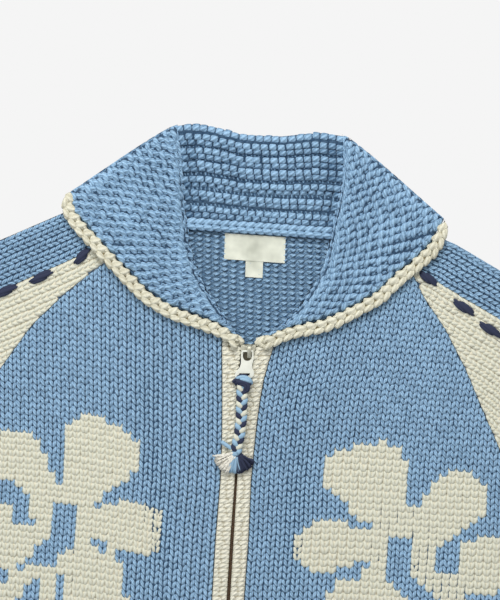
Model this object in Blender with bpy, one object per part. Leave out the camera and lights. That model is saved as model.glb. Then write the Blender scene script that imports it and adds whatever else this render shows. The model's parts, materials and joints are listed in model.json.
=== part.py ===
"""Cowichan cardigan, zipped and laid flat on its back with the shawl collar turned down.

Plan measures are in millimetres from the top end of the zip: +X to the right, +Y toward the collar.
+Z is up and the table is z = 0. Left and right are as seen from above. Two layers of knit lie on each
other: the back and the sleeves' back halves below, the fronts and the sleeves' front halves above.
The collar's fall lies on the fronts, and behind the neck its stand and fall share one rounded solid.
"""
import math
from collections import namedtuple

import bmesh
import bpy
from mathutils import Matrix, Vector

MM = 0.001  # metres in a millimetre

# Cloth: one wall of knit, and the gap that parts two pieces
WALL = 5.0
GAP = 0.3
SEAM_SHIFT = 0.25  # each side of a seam steps back this far along its own row
FRONT_BASE = WALL + GAP  # underside of the upper layer
FRONT_TOP = FRONT_BASE + WALL
FALL_BASE = FRONT_TOP + GAP  # underside of the collar's fall where it lies on the fronts
FALL_TOP = FALL_BASE + WALL
EDGE_ROUND = 4.0  # width of the rounding along a free fold or side
EDGE_DROP = 1.6

# Zip: bands, tapes, slider
BAND_BASE = FRONT_BASE + 1.2
BAND_TOP = BAND_BASE + WALL
TAPE_THICK = 0.9
TAPE_WIDTH = 11.0
HINGE = Vector((5.0, -6.0, 13.0))  # axis of the pull tab, along X
SLIDER_LEFT, SLIDER_RIGHT = -2.2, 13.4
SLIDER_MOUTH = 0.755  # width at its lower end, as a share
TAB_LEAN = 0.21
SLIDER_LENGTH = 18.0

# Collar
LIP = 10.3  # the turned edge of the collar that meets the front's neckline
STEP = 0.3  # rows or columns this close make a vertical wall
ROLL_ROUND = 8.0
ROLL_CROWN = 2.4
STAND_BASE_TOP = FRONT_TOP
STAND_RISE = 4.0
RIDGES = 7  # garter ridges across the stand
RIDGE_HEIGHT = 1.6
RIDGE_CREASE = 18.0  # degrees: ridges keep crisp furrows
EDGING_WIDTH = 12.5
EDGING_HEIGHT = 6.6
EDGING_GAP = 0.5
CHAIN_WIDTH = 10.5
CHAIN_HEIGHT = 5.8

# Ribs
RIB_HEIGHT = 1.6
HEM_RIBS = 22
CUFF_RIBS = 9
CUFF_LENGTH = 65.0

Plan = namedtuple("Plan", "x y")
CollarRow = namedtuple("CollarRow", "roll_x roll_y edge_x edge_y")
RaglanRow = namedtuple("RaglanRow", "seam_x seam_y fold_x fold_y")
SleeveRow = namedtuple("SleeveRow", "step bearing half_width")
BandRow = namedtuple("BandRow", "y left_outer left_inner right_inner right_outer")
BodyRow = namedtuple("BodyRow", "y half_width")
Inset = namedtuple("Inset", "depth top_share base")
Colour = namedtuple("Colour", "red green blue")
Tuft = namedtuple("Tuft", "name x y bearing spread length colour")

# Collar, from the zip end up to the silhouette. Row 7 is the neck seam, row 10 the shoulder fold line.
COLLAR_LEFT = (
    CollarRow(-3.0, 5.0, -8.0, 9.5),
    CollarRow(-12.0, 17.0, -19.0, 19.0),
    CollarRow(-23.0, 33.0, -38.0, 27.0),
    CollarRow(-37.3, 53.6, -71.0, 39.3),
    CollarRow(-47.0, 73.0, -95.0, 55.0),
    CollarRow(-53.2, 93.5, -116.0, 76.5),
    CollarRow(-56.0, 110.0, -132.0, 93.0),
    CollarRow(-57.4, 126.0, -145.0, 107.5),
    CollarRow(-59.0, 145.0, -156.0, 119.5),
    CollarRow(-60.3, 165.0, -164.0, 128.5),
    CollarRow(-61.5, 183.5, -170.5, 136.5),
    CollarRow(-66.0, 219.5, -171.5, 153.5),
)
COLLAR_RIGHT = (
    CollarRow(19.0, 6.0, 25.0, 8.4),
    CollarRow(29.0, 13.0, 39.0, 15.5),
    CollarRow(42.0, 21.7, 57.0, 20.5),
    CollarRow(59.6, 41.0, 84.0, 27.0),
    CollarRow(70.8, 58.4, 109.0, 39.0),
    CollarRow(82.0, 77.5, 133.0, 53.0),
    CollarRow(86.7, 98.0, 150.5, 69.6),
    CollarRow(90.0, 116.0, 165.0, 81.0),
    CollarRow(94.0, 133.4, 178.0, 93.0),
    CollarRow(98.0, 155.0, 187.5, 102.0),
    CollarRow(100.8, 173.6, 191.7, 110.5),
    CollarRow(100.0, 209.5, 201.5, 125.5),
)
NECK_ROW = 7
SHOULDER_ROW = 10
TOP_ROW = 11
STAND_HEIGHTS = (0.0, 0.216, 0.443, 0.653, 1.0)  # height of rows 7 to 11 as a share of the stand
TOP_EDGE = (  # the roll of the stand behind the neck
    Plan(-66.0, 219.5), Plan(-58.0, 221.0), Plan(-43.0, 221.4), Plan(-27.0, 218.0), Plan(-4.0, 211.2),
    Plan(19.0, 209.6), Plan(42.0, 209.0), Plan(53.0, 210.6), Plan(74.0, 213.0), Plan(100.0, 209.5),
)
TOP_SWELL = 2.7  # the fall's rolled top bows outward this much between the stand and the edging
ROLL_INSETS = (  # rounding of the collar's rolled silhouette
    Inset(8.0, 0.98, 0.0), Inset(4.0, 0.87, 0.9), Inset(1.5, 0.70, 2.6), Inset(0.0, 0.51, 4.6),
)

# Raglan seams with the shoulder fold opposite, from the collar down to the underarm
RAGLAN_LEFT = (
    RaglanRow(-101.0, 114.0, -119.7, 158.1),
    RaglanRow(-122.0, 97.0, -143.6, 147.8),
    RaglanRow(-143.0, 79.0, -167.4, 137.6),
    RaglanRow(-176.5, 53.0, -206.0, 121.0),
    RaglanRow(-211.0, 20.0, -244.5, 104.4),
    RaglanRow(-243.0, -24.0, -282.4, 88.0),
    RaglanRow(-270.0, -66.0, -327.0, 66.0),
    RaglanRow(-293.0, -129.0, -377.0, 32.0),
)
RAGLAN_RIGHT = (
    RaglanRow(131.0, 101.0, 155.1, 135.9),
    RaglanRow(165.0, 81.0, 191.0, 110.9),
    RaglanRow(180.0, 49.0, 212.8, 100.9),
    RaglanRow(202.5, 15.0, 239.5, 85.1),
    RaglanRow(221.5, -22.0, 268.9, 67.8),
    RaglanRow(240.0, -66.0, 303.6, 46.5),
    RaglanRow(259.0, -110.0, 340.0, 18.0),
    RaglanRow(277.0, -161.0, 407.0, -48.0),
)
FLAT_SHOULDER_ROWS = 3  # rows whose fold lies under the collar and stays flat
SLEEVE_LEFT = (  # from the underarm to the cuff: step along, bearing below the horizontal, half width
    SleeveRow(80.0, 33.0, 83.0), SleeveRow(80.0, 39.0, 75.0), SleeveRow(80.0, 45.0, 67.0),
    SleeveRow(80.0, 50.0, 60.0), SleeveRow(65.0, 53.0, 55.0),
)
SLEEVE_RIGHT = (
    SleeveRow(80.0, 53.0, 81.0), SleeveRow(80.0, 58.0, 74.0), SleeveRow(80.0, 63.0, 67.0),
    SleeveRow(80.0, 67.0, 60.0), SleeveRow(65.0, 69.0, 55.0),
)
CUFF_HALF_WIDTH = 46.0
SLEEVE_PUFF = 2.4  # the front half lifts this much beside its fold

# Ends of the edging above the zip, inner then outer side
START_LEFT = (Plan(-2.4, 2.8), Plan(-13.2, 1.0))
START_RIGHT = (Plan(16.8, 2.8), Plan(28.8, -0.4))
# Tips of the edging where it turns down over the shoulder fold: on the fold, beside the collar, at the end
TIP_LEFT = (Plan(-178.3, 133.1), Plan(-178.8, 142.6), Plan(-175.1, 151.7))
TIP_RIGHT = (Plan(201.7, 106.4), Plan(203.7, 112.0), Plan(204.2, 118.2))

# Zip bands from the collar to the hem. The slider spreads them at the top.
BANDS = (
    BandRow(-1.6, -21.0, -2.7, 14.0, 30.4),
    BandRow(-17.0, -20.8, -4.2, 10.0, 25.5),
    BandRow(-35.0, -20.7, -5.2, 4.5, 20.5),
    BandRow(-55.0, -20.7, -5.8, 0.6, 16.8),
    BandRow(-80.0, -20.8, -6.4, -2.5, 13.4),
    BandRow(-105.0, -21.2, -7.1, -4.7, 10.8),
    BandRow(-135.0, -22.3, -8.2, -5.8, 7.9),
    BandRow(-195.0, -27.3, -12.8, -9.4, 5.2),
    BandRow(-252.0, -30.7, -16.2, -12.8, 1.0),
    BandRow(-340.0, -36.4, -21.2, -17.4, -2.2),
    BandRow(-428.0, -41.3, -26.1, -22.1, -7.1),
    BandRow(-490.0, -44.6, -29.4, -25.4, -10.6),
)
HEM_ROW = 10  # the band row level with the top of the hem rib

# Body below the underarm: distance down the zip line and half width, square to the zip line
LEAN = 0.0556  # the zip line leans this much in X for each millimetre of Y
SIDES = (
    BodyRow(-180.0, 284.0), BodyRow(-215.0, 283.0), BodyRow(-250.0, 282.0), BodyRow(-280.0, 281.0),
    BodyRow(-310.0, 280.5), BodyRow(-340.0, 280.0), BodyRow(-370.0, 279.5), BodyRow(-400.0, 279.0),
    BodyRow(-428.0, 278.0),
)
HEM_BOTTOM = BodyRow(-490.0, 263.0)

# Labels on the inner back, by their corners
NECK_LABEL = (Plan(-18.0, 111.9), Plan(42.7, 107.8), Plan(41.8, 81.8), Plan(-19.0, 86.0))
SIZE_LABEL = (Plan(2.7, 86.0), Plan(20.2, 84.8), Plan(19.5, 67.0), Plan(2.2, 68.2))
LABEL_THICK = 0.6

# Braid from the pull tab, and the tufts at its end
BRAID_PATH = (Plan(1.0, -34.8), Plan(-0.6, -43.0), Plan(-1.2, -58.0), Plan(-1.8, -74.0), Plan(-3.4, -88.0),
              Plan(-5.6, -99.0), Plan(-7.4, -107.0))
BRAID_RADIUS = 4.8

# Finishes
SKY = Colour(0.215, 0.345, 0.475)
CREAM = Colour(0.70, 0.70, 0.58)
NAVY = Colour(0.022, 0.03, 0.07)
BROWN = Colour(0.06, 0.035, 0.02)
SATIN = Colour(0.72, 0.74, 0.68)
NICKEL = Colour(0.62, 0.61, 0.55)

TUFTS = (
    Tuft("tassel_cream", -14.0, -109.5, 208.0, 62.0, 17.0, CREAM),
    Tuft("tassel_sky", -7.5, -112.5, 262.0, 24.0, 16.0, SKY),
    Tuft("tassel_navy", 0.0, -110.6, 303.0, 48.0, 16.0, NAVY),
)
TUFT_STRANDS = 5
TUFT_BASE = 12.4
STRAND_STEPS = 3


def smooth(value):
    """Smooth step from 0 to 1."""
    value = max(0.0, min(1.0, value))
    return value * value * (3.0 - 2.0 * value)


def mix(start, end, share):
    """Point between two points."""
    return start + (end - start) * share


def along_curve(points, value):
    """Place on a smooth curve that passes through points at whole values."""
    low = min(max(int(value), 0), len(points) - 2)
    share = value - low
    start, end = points[low], points[low + 1]
    before = points[low - 1] if low > 0 else start * 2.0 - end
    after = points[low + 2] if low + 2 < len(points) else end * 2.0 - start
    bend = (before * 2.0 - start * 5.0 + end * 4.0 - after) * share ** 2
    twist = (start * 3.0 - before - end * 3.0 + after) * share ** 3
    return start + ((end - before) * share + bend + twist) * 0.5


def finish(name, colour, roughness=0.9, metallic=0.0):
    """Principled material of one colour."""
    material = bpy.data.materials.new(name)
    material.use_nodes = True
    shader = material.node_tree.nodes["Principled BSDF"]
    shader.inputs["Base Color"].default_value = (*colour, 1.0)
    shader.inputs["Roughness"].default_value = roughness
    shader.inputs["Metallic"].default_value = metallic
    material.diffuse_color = (*colour, 1.0)
    return material


def add_object(name, mesh, material, crease):
    """Link a mesh under its node name, shaded smooth but where its faces turn more than crease degrees."""
    mesh.materials.append(material)
    mesh.shade_smooth()
    mesh.set_sharp_from_angle(angle=math.radians(crease))
    piece = bpy.data.objects.new(name, mesh)
    bpy.context.scene.collection.objects.link(piece)
    return piece


def add_bmesh(name, shape, material, crease=40.0):
    """Turn a finished bmesh into an object with its faces pointing out."""
    bmesh.ops.recalc_face_normals(shape, faces=shape.faces[:])
    mesh = bpy.data.meshes.new(name)
    shape.to_mesh(mesh)
    shape.free()
    return add_object(name, mesh, material, crease)


def add_wall(name, columns, rows, point, material, hole=None, crease=40.0):
    """Closed wall over a grid: point(column, row, outer) places both of its faces."""
    shape = bmesh.new()
    bmesh.ops.create_grid(shape, x_segments=columns, y_segments=rows, size=1.0)
    column_of = shape.verts.layers.int.new("column")
    row_of = shape.verts.layers.int.new("row")
    outer_of = shape.verts.layers.int.new("outer")
    for vert in shape.verts:
        vert[column_of] = round((vert.co.x + 1.0) * columns / 2.0)
        vert[row_of] = round((vert.co.y + 1.0) * rows / 2.0)
    if hole:
        cut = [face for face in shape.faces
               if hole(min(vert[column_of] for vert in face.verts), min(vert[row_of] for vert in face.verts))]
        bmesh.ops.delete(shape, geom=cut, context="FACES")
    skin = bmesh.ops.extrude_face_region(shape, geom=shape.faces[:])
    for item in skin["geom"]:
        if isinstance(item, bmesh.types.BMVert):
            item[outer_of] = 1
    for vert in shape.verts:
        vert.co = Vector(point(vert[column_of], vert[row_of], vert[outer_of])) * MM
    return add_bmesh(name, shape, material, crease)


class Side:
    """One half of the cardigan: its tables, and the lines that its neighbours share."""

    def __init__(self, name, collar, raglan, sleeve, sign):
        self.name = name
        self.collar = collar
        self.raglan = raglan
        self.sleeve = sleeve
        self.sign = sign  # -1 on the left, 1 on the right

    def roll(self, row):
        """Roll line of the collar at a row, whole or between two."""
        return along_curve([Vector((entry.roll_x, entry.roll_y)) for entry in self.collar], row)

    def edge(self, row):
        """Outer edge of the collar's fall at a row."""
        return along_curve([Vector((entry.edge_x, entry.edge_y)) for entry in self.collar], row)

    def lip_width(self, row):
        """Width of the lip, narrower where the fall itself is narrow."""
        return min(LIP, 0.85 * (self.edge(row) - self.roll(row)).length)

    def lip(self, row, extra=0.0):
        """Outer side of the lip, straight beside the sleeve's neck end."""
        if NECK_ROW < row < SHOULDER_ROW:
            share = (row - NECK_ROW) / (SHOULDER_ROW - NECK_ROW)
            return mix(self.lip(NECK_ROW, extra), self.lip(SHOULDER_ROW, extra), share)
        across = (self.edge(row) - self.roll(row)).normalized()
        return self.roll(row) + across * (self.lip_width(row) + extra)

    def neck_corner(self):
        """Point where neck, raglan seam and collar meet."""
        return self.lip(NECK_ROW, GAP)

    def seam(self, row):
        """Raglan seam, row 0 at the neck corner, straight between two rows."""
        points = [self.neck_corner()] + [Vector((entry.seam_x, entry.seam_y)) for entry in self.raglan]
        low = min(int(row), len(points) - 2)
        return mix(points[low], points[low + 1], row - low)

    def fold(self, row):
        """Shoulder fold of the sleeve."""
        if row == 0:
            return self.lip(SHOULDER_ROW, GAP)
        entry = self.raglan[row - 1]
        return Vector((entry.fold_x, entry.fold_y))

    def body_edge(self, entry):
        """Side of the body at a distance down the zip line."""
        square = Vector((self.sign, -self.sign * LEAN)).normalized()
        return Vector((entry.y * LEAN, entry.y)) + square * entry.half_width

    def band_outer(self, entry):
        """Outer edge of this side's zip band."""
        return Vector((entry.left_outer if self.sign < 0 else entry.right_outer, entry.y))

    def band_inner(self, entry):
        """Inner edge of this side's zip band."""
        return Vector((entry.left_inner if self.sign < 0 else entry.right_inner, entry.y))

    def sleeve_rows(self):
        """Pairs of seam and fold points down the whole sleeve at every half row, without the cuff.

        The raglan seam stays straight between its rows, where the fronts and the back meet it.
        """
        underarm = len(self.raglan)
        rows = [(self.seam(row), self.fold(row)) for row in range(underarm + 1)]
        seam, fold = rows[-1]
        centre = mix(seam, fold, 0.5)
        for entry in self.sleeve:
            angle = math.radians(entry.bearing)
            along = Vector((self.sign * math.cos(angle), -math.sin(angle)))
            centre = centre + along * entry.step
            rows.append(self.section(centre, along, entry.half_width))
        seams, folds = zip(*rows)
        halves = [0.5 * step for step in range(2 * len(rows) - 1)]
        pairs = []
        for row in halves:
            seam = along_curve(seams, row)
            if row < underarm:
                seam = mix(seams[int(row)], seams[int(row) + 1], row - int(row))
            pairs.append((seam, along_curve(folds, row)))
        return pairs

    def section(self, centre, along, half_width):
        """Seam and fold points of a sleeve section square to its direction."""
        across = Vector((-along.y, along.x)) * self.sign
        return centre - across * half_width, centre + across * half_width


def front_rows(side):
    """Outer and inner points of a front, from the neck corner to the hem rib."""
    underarm = len(side.raglan)
    neck = [side.lip(0.5 * step, GAP + 0.1) for step in range(2 * NECK_ROW, 1, -1)]
    neck[0] = mix(neck[0], neck[1], 0.2)
    halved = len(neck) - NECK_ROW  # raglan rows that take a half row, so that both edges count the same
    outer = [side.seam(0.5 * step) for step in range(2 * halved + 1)]
    outer += [side.seam(row) for row in range(halved + 1, underarm + 1)]
    outer += [side.body_edge(entry) for entry in SIDES]
    outer[0] = mix(outer[0], outer[1], 0.16)
    inner = neck + [side.band_outer(entry) for entry in BANDS[:HEM_ROW + 1]]
    return list(zip(outer, inner))


def build_front(side, material):
    """Front panel on the upper layer."""
    rows = front_rows(side)
    free_side = len(rows) - len(SIDES)
    shares = (0.0, 0.0, 0.14, 0.28, 0.42, 0.56, 0.70, 0.85, 1.0)

    def point(column, row, outer):
        start, end = rows[row]
        across = (end - start).normalized()
        start, end = start + across * SEAM_SHIFT, end - across * GAP
        place = mix(start, end, shares[column])
        if column == 1:
            place = start + across * min(EDGE_ROUND, 0.1 * (end - start).length)
        if not outer:
            return place.x, place.y, FRONT_BASE
        drop = EDGE_DROP if column == 0 and row >= free_side else 0.0
        return place.x, place.y, FRONT_TOP - drop

    return add_wall("front_" + side.name, len(shares) - 1, len(rows) - 1, point, material)


def build_back(left, right, material):
    """Back panel on the table, from the neck seam to the hem rib."""
    underarm = len(left.raglan)
    sides = [(left.seam(row), right.seam(row)) for row in range(underarm + 1)]
    sides += [(left.body_edge(entry), right.body_edge(entry)) for entry in SIDES[::2]]
    columns = 14

    def neck_point(column):
        if column in (0, columns):
            return (left if column == 0 else right).neck_corner()
        if column in (1, columns - 1):
            return (left if column == 1 else right).roll(NECK_ROW)
        return mix(left.roll(NECK_ROW), right.roll(NECK_ROW), (column - 1) / (columns - 2))

    def point(column, row, outer):
        start, end = sides[row]
        across = (end - start).normalized()
        start, end = start + across * SEAM_SHIFT, end - across * SEAM_SHIFT
        if column in (1, columns - 1):
            place = start + across * EDGE_ROUND if column == 1 else end - across * EDGE_ROUND
        else:
            place = mix(start, end, column / columns)
        if row == 0:
            place = neck_point(column) + Vector((0.0, -GAP - 0.1))
        if outer:
            return place.x, place.y, WALL
        lift = 0.8 if column in (0, columns) and row > underarm else 0.0
        return place.x, place.y, lift

    return add_wall("back", columns, len(sides) - 1, point, material)


# A folded sleeve's section: where each column lies and how its two faces stand at the fold
Fold = namedtuple("Fold", "depth outer inner_depth inner")
FOLD_COLUMNS = (
    Fold(6.0, FRONT_TOP, 6.5, FRONT_BASE), Fold(3.0, FRONT_TOP - 1.2, 5.6, FRONT_BASE),
    Fold(1.0, FRONT_TOP - 3.0, 5.2, FRONT_BASE - 0.05), Fold(0.0, FRONT_TOP / 2.0, 5.0, FRONT_BASE - 0.15),
    Fold(1.0, 2.0, 5.2, WALL + 0.05), Fold(3.0, 0.5, 5.6, WALL), Fold(6.0, 0.0, 6.5, WALL),
)


def build_tube(name, rows, front_shares, lift_at, relief, material):
    """Flattened sleeve or cuff: a front half, the fold and a back half that rests on the table.

    rows holds seam and fold points, front_shares the front half's columns from seam (1) to fold (0),
    lift_at(row) the height the front half stands off, and relief(column) the ribs.
    """
    front = len(front_shares)
    back_shares = (0.5, 1.0)
    columns = front + len(FOLD_COLUMNS) + len(back_shares)

    def point(column, row, outer):
        seam, fold, closed = rows[row]
        width = (seam - fold).length
        across = (seam - fold) / width
        lift = lift_at(row)
        if column < front:
            depth = width * front_shares[column] - (SEAM_SHIFT if column == 0 else 0.0)
            puff = lift * math.exp(-((depth - 18.0) / 26.0) ** 2)
            height = FRONT_BASE + puff
            if outer:
                height = FRONT_TOP + puff + relief(column) - (EDGE_DROP if closed and column == 0 else 0.0)
        elif column < front + len(FOLD_COLUMNS):
            entry = FOLD_COLUMNS[column - front]
            upper = (front + len(FOLD_COLUMNS) // 2) > column
            puff = lift * math.exp(-((entry.depth - 18.0) / 26.0) ** 2) if upper else 0.0
            depth = entry.depth if outer else entry.inner_depth
            height = (entry.outer if outer else entry.inner) + puff
        else:
            share = back_shares[column - front - len(FOLD_COLUMNS)]
            depth = width * share - (SEAM_SHIFT if share == 1.0 else 0.0)
            height = 0.0 if outer else WALL
        place = fold + across * depth
        return place.x, place.y, height

    return add_wall(name, columns - 1, len(rows) - 1, point, material)


def build_sleeve(side, material):
    """Raglan sleeve down to its cuff."""
    underarm = 2 * len(side.raglan)
    rows = [(seam, fold, row > underarm) for row, (seam, fold) in enumerate(side.sleeve_rows())]
    shares = (1.0, 0.95, 0.82, 0.68, 0.54, 0.42, 0.30, 0.20)

    def lift_at(row):
        return SLEEVE_PUFF * smooth((row / 2.0 - FLAT_SHOULDER_ROWS) / 3.0)

    build_tube("sleeve_" + side.name, rows, shares, lift_at, lambda column: 0.0, material)


def rib_relief(column, per_rib=3):
    """Height of a rib over its furrow at a column."""
    return 0.0 if column % per_rib else -RIB_HEIGHT


def build_cuff(side, material):
    """Ribbed cuff past the sleeve's last section."""
    last = side.sleeve[-1]
    seam, fold = side.sleeve_rows()[-1]
    centre = mix(seam, fold, 0.5)
    angle = math.radians(last.bearing)
    along = Vector((side.sign * math.cos(angle), -math.sin(angle)))
    rows = []
    for step, half_width in ((GAP, last.half_width), (12.0, CUFF_HALF_WIDTH), (CUFF_LENGTH, CUFF_HALF_WIDTH)):
        rows.append((*side.section(centre + along * step, along, half_width), True))
    columns = 3 * CUFF_RIBS + 1
    shares = [1.0 - 0.88 * column / (columns - 1) for column in range(columns)]
    build_tube("cuff_" + side.name, rows, shares, lambda row: 0.8, rib_relief, material)


def build_front_hem(side, material):
    """Ribbed hem of a front, between its side and the zip band."""
    top_outer, top_inner = front_rows(side)[-1]
    rows = [(top_outer, top_inner), (side.body_edge(HEM_BOTTOM), side.band_outer(BANDS[-1]))]
    down = Vector((-LEAN, -1.0)).normalized()
    columns = 3 * HEM_RIBS

    def point(column, row, outer):
        start, end = rows[row]
        across = (end - start).normalized()
        start, end = start + across * SEAM_SHIFT, end - across * GAP
        place = mix(start, end, column / columns)
        if row == 0:
            place = place + down * GAP
        height = FRONT_TOP + rib_relief(column) if outer else FRONT_BASE
        return place.x, place.y, height

    return add_wall("hem_" + side.name, columns, 1, point, material)


def build_back_hem(left, right, material):
    """Hem rib of the back, plain because it lies between the table and the front hems."""
    rows = [(left.body_edge(entry), right.body_edge(entry)) for entry in (SIDES[-1], HEM_BOTTOM)]
    down = Vector((-LEAN, -1.0)).normalized()
    columns = 8

    def point(column, row, outer):
        start, end = rows[row]
        across = (end - start).normalized()
        place = mix(start + across * SEAM_SHIFT, end - across * SEAM_SHIFT, column / columns)
        if row == 0:
            place = place + down * GAP
        return place.x, place.y, WALL if outer else 0.0

    return add_wall("hem_back", columns, 1, point, material)


class Collar:
    """Shawl collar: left fall, stand and right fall on one grid with the neck opening cut out."""

    FALL_SHARES = (1.0, 0.75, 0.50, 0.28, 0.10)
    LIP_DEPTHS = (LIP, LIP - STEP, 7.0, 4.5, 2.2, 0.7, 0.0)
    STAND_SHARES = (0.013, 0.05, 0.13, 0.24, 0.37, 0.5, 0.63, 0.76, 0.87, 0.95, 0.987)

    def __init__(self, left, right):
        self.left = left
        self.right = right
        self.fall_columns = len(self.FALL_SHARES) + len(self.LIP_DEPTHS)
        self.opening_rows = 2 * NECK_ROW + 1
        self.rows = self.make_rows()

    def make_rows(self):
        """Rows as (table row, shift toward the next row, ridge relief, inset)."""
        rows = [(0.5 * step, 0.0, 0.0, None) for step in range(self.opening_rows)]
        rows.append((float(NECK_ROW), STEP, 0.0, None))
        ridge_rows = 2 * RIDGES
        upper = []
        for step in range(1, ridge_rows):
            relief = RIDGE_HEIGHT * (0.5 if step % 2 else -0.5)
            upper.append((self.row_at_height(0.93 * step / ridge_rows), 0.0, relief, None))
        upper.append((float(SHOULDER_ROW), 0.0, 0.0, None))
        upper.append((float(SHOULDER_ROW), STEP, 0.0, None))
        rows += sorted(upper, key=lambda entry: (entry[0], entry[1]))
        rows += [(float(TOP_ROW), -inset.depth, 0.0, inset) for inset in ROLL_INSETS]
        return rows

    @staticmethod
    def row_at_height(height):
        """Table row at a share of the stand's height."""
        for index in range(len(STAND_HEIGHTS) - 1):
            low, high = STAND_HEIGHTS[index], STAND_HEIGHTS[index + 1]
            if height <= high:
                return NECK_ROW + index + (height - low) / (high - low)
        return float(TOP_ROW)

    @staticmethod
    def height_at_row(row):
        """Share of the stand's height at a table row."""
        low = min(max(int(row) - NECK_ROW, 0), len(STAND_HEIGHTS) - 2)
        return STAND_HEIGHTS[low] + (STAND_HEIGHTS[low + 1] - STAND_HEIGHTS[low]) * (row - NECK_ROW - low)

    def top_edge(self, share):
        """Rolled top edge of the stand between its two corners."""
        x = TOP_EDGE[0].x + (TOP_EDGE[-1].x - TOP_EDGE[0].x) * share
        for a, b in zip(TOP_EDGE, TOP_EDGE[1:]):
            if x <= b.x:
                return Vector((x, a.y + (b.y - a.y) * (x - a.x) / (b.x - a.x)))
        return Vector(TOP_EDGE[-1])

    def stand_plan(self, share, row):
        """Plan of the stand: straight between neck seam and top edge, bent to meet both roll lines."""
        height = self.height_at_row(row)
        neck = mix(self.left.roll(NECK_ROW), self.right.roll(NECK_ROW), share)
        place = mix(neck, self.top_edge(share), height)
        for side, weight, corner in ((self.left, 1.0 - share, 0.0), (self.right, share, 1.0)):
            straight = mix(side.roll(NECK_ROW), self.top_edge(corner), height)
            place = place + (side.roll(row) - straight) * weight
        return place

    def fall_depth(self, side, column, row):
        """Distance of a fall column from the roll line, and the fall's width."""
        width = (side.edge(row) - side.roll(row)).length
        lip = side.lip_width(row)
        if column < len(self.FALL_SHARES):
            return lip + (width - lip) * self.FALL_SHARES[column], width
        return self.LIP_DEPTHS[column - len(self.FALL_SHARES)] * lip / LIP, width

    def fall_plan(self, side, column, row):
        """Plan of the fall: along the row, with the lip's outer side straight beside the sleeve."""
        depth, width = self.fall_depth(side, column, row)
        roll, edge, lip = side.roll(row), side.edge(row), side.lip(row)
        lip_depth = side.lip_width(row)
        if depth <= lip_depth:
            place = mix(roll, lip, depth / lip_depth)
        else:
            place = mix(lip, edge, (depth - lip_depth) / (width - lip_depth))
        across = (edge - roll).normalized()
        swell = TOP_SWELL * max(0.0, row - SHOULDER_ROW) * math.sin(math.pi * math.sqrt(depth / width))
        return place + Vector((-across.y, across.x)) * (swell * side.sign)

    def locate(self, column):
        """Which part of the collar a column belongs to, and its index or share there."""
        last = 2 * self.fall_columns + len(self.STAND_SHARES) - 1
        if column < self.fall_columns:
            return self.left, column
        if column > last - self.fall_columns:
            return self.right, last - column
        return None, self.STAND_SHARES[column - self.fall_columns]

    def plan(self, column, row):
        """Plan position of a column at a table row."""
        side, index = self.locate(column)
        return self.stand_plan(index, row) if side is None else self.fall_plan(side, index, row)

    def stand_top(self, share, row, relief):
        """Height of the stand's upper face."""
        height = self.height_at_row(row)
        span = (self.right.roll(row) - self.left.roll(row)).length
        beside = min(share, 1.0 - share) * span
        dip = 1.4 * math.exp(-(beside / 14.0) ** 2)
        return STAND_BASE_TOP + STAND_RISE * smooth(height / 0.7) + relief * smooth(beside / 6.0) - dip

    def fall_top(self, side, column, row):
        """Height of the fall's upper face: a rounded roll, a crown and a slight droop to the edge."""
        depth, width = self.fall_depth(side, column, row)
        crown = FALL_TOP + ROLL_CROWN * min(1.0, width / 40.0) * math.exp(-((depth - 13.0) / 15.0) ** 2)
        crown -= 0.8 * (depth / width) ** 3
        radius = ROLL_ROUND * side.lip_width(row) / LIP
        if depth >= radius:
            return crown
        low = 8.0 if row <= NECK_ROW - 2 else 8.0 + 1.2 * (row - NECK_ROW + 2)
        if row > NECK_ROW:
            low = self.stand_top(0.0, row, 0.0) + 0.6
        return low + (crown - low) * math.sqrt(1.0 - (1.0 - depth / radius) ** 2)

    def base(self, column, row, shift):
        """Height of the underside: on the table, on the back or on the fronts."""
        side, index = self.locate(column)
        beside_neck = row > NECK_ROW or (row == NECK_ROW and shift > 0.0)
        past_shoulder = row > SHOULDER_ROW or (row == SHOULDER_ROW and shift > 0.0)
        if side is None:
            return 0.0
        if index <= len(self.FALL_SHARES):
            return 0.0 if past_shoulder else FALL_BASE
        if beside_neck:
            return 0.0
        depth, _ = self.fall_depth(side, index, row)
        return FRONT_BASE + 1.8 * (1.0 - min(1.0, depth / 2.2)) ** 2

    def point(self, column, row_index, outer):
        """Place of one corner of the wall."""
        row, shift, relief, inset = self.rows[row_index]
        place = self.plan(column, row)
        if shift:
            toward = self.plan(column, row + (1.0 if shift > 0.0 else -1.0))
            place = place + (toward - place).normalized() * abs(shift)
        side, index = self.locate(column)
        if side is None:
            top = self.stand_top(index, row, relief)
        else:
            top = self.fall_top(side, index, row)
        if inset:
            return place.x, place.y, top * inset.top_share if outer else inset.base
        return place.x, place.y, top if outer else self.base(column, row, shift)

    def in_opening(self, column, row_index):
        """Faces of the grid that lie in the neck opening."""
        over_stand = self.fall_columns - 1 <= column < self.fall_columns + len(self.STAND_SHARES)
        return over_stand and row_index < self.opening_rows

    def build(self, material):
        """Make the collar's wall."""
        columns = 2 * self.fall_columns + len(self.STAND_SHARES) - 1
        rows = len(self.rows) - 1
        return add_wall("collar", columns, rows, self.point, material, self.in_opening, RIDGE_CREASE)


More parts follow.
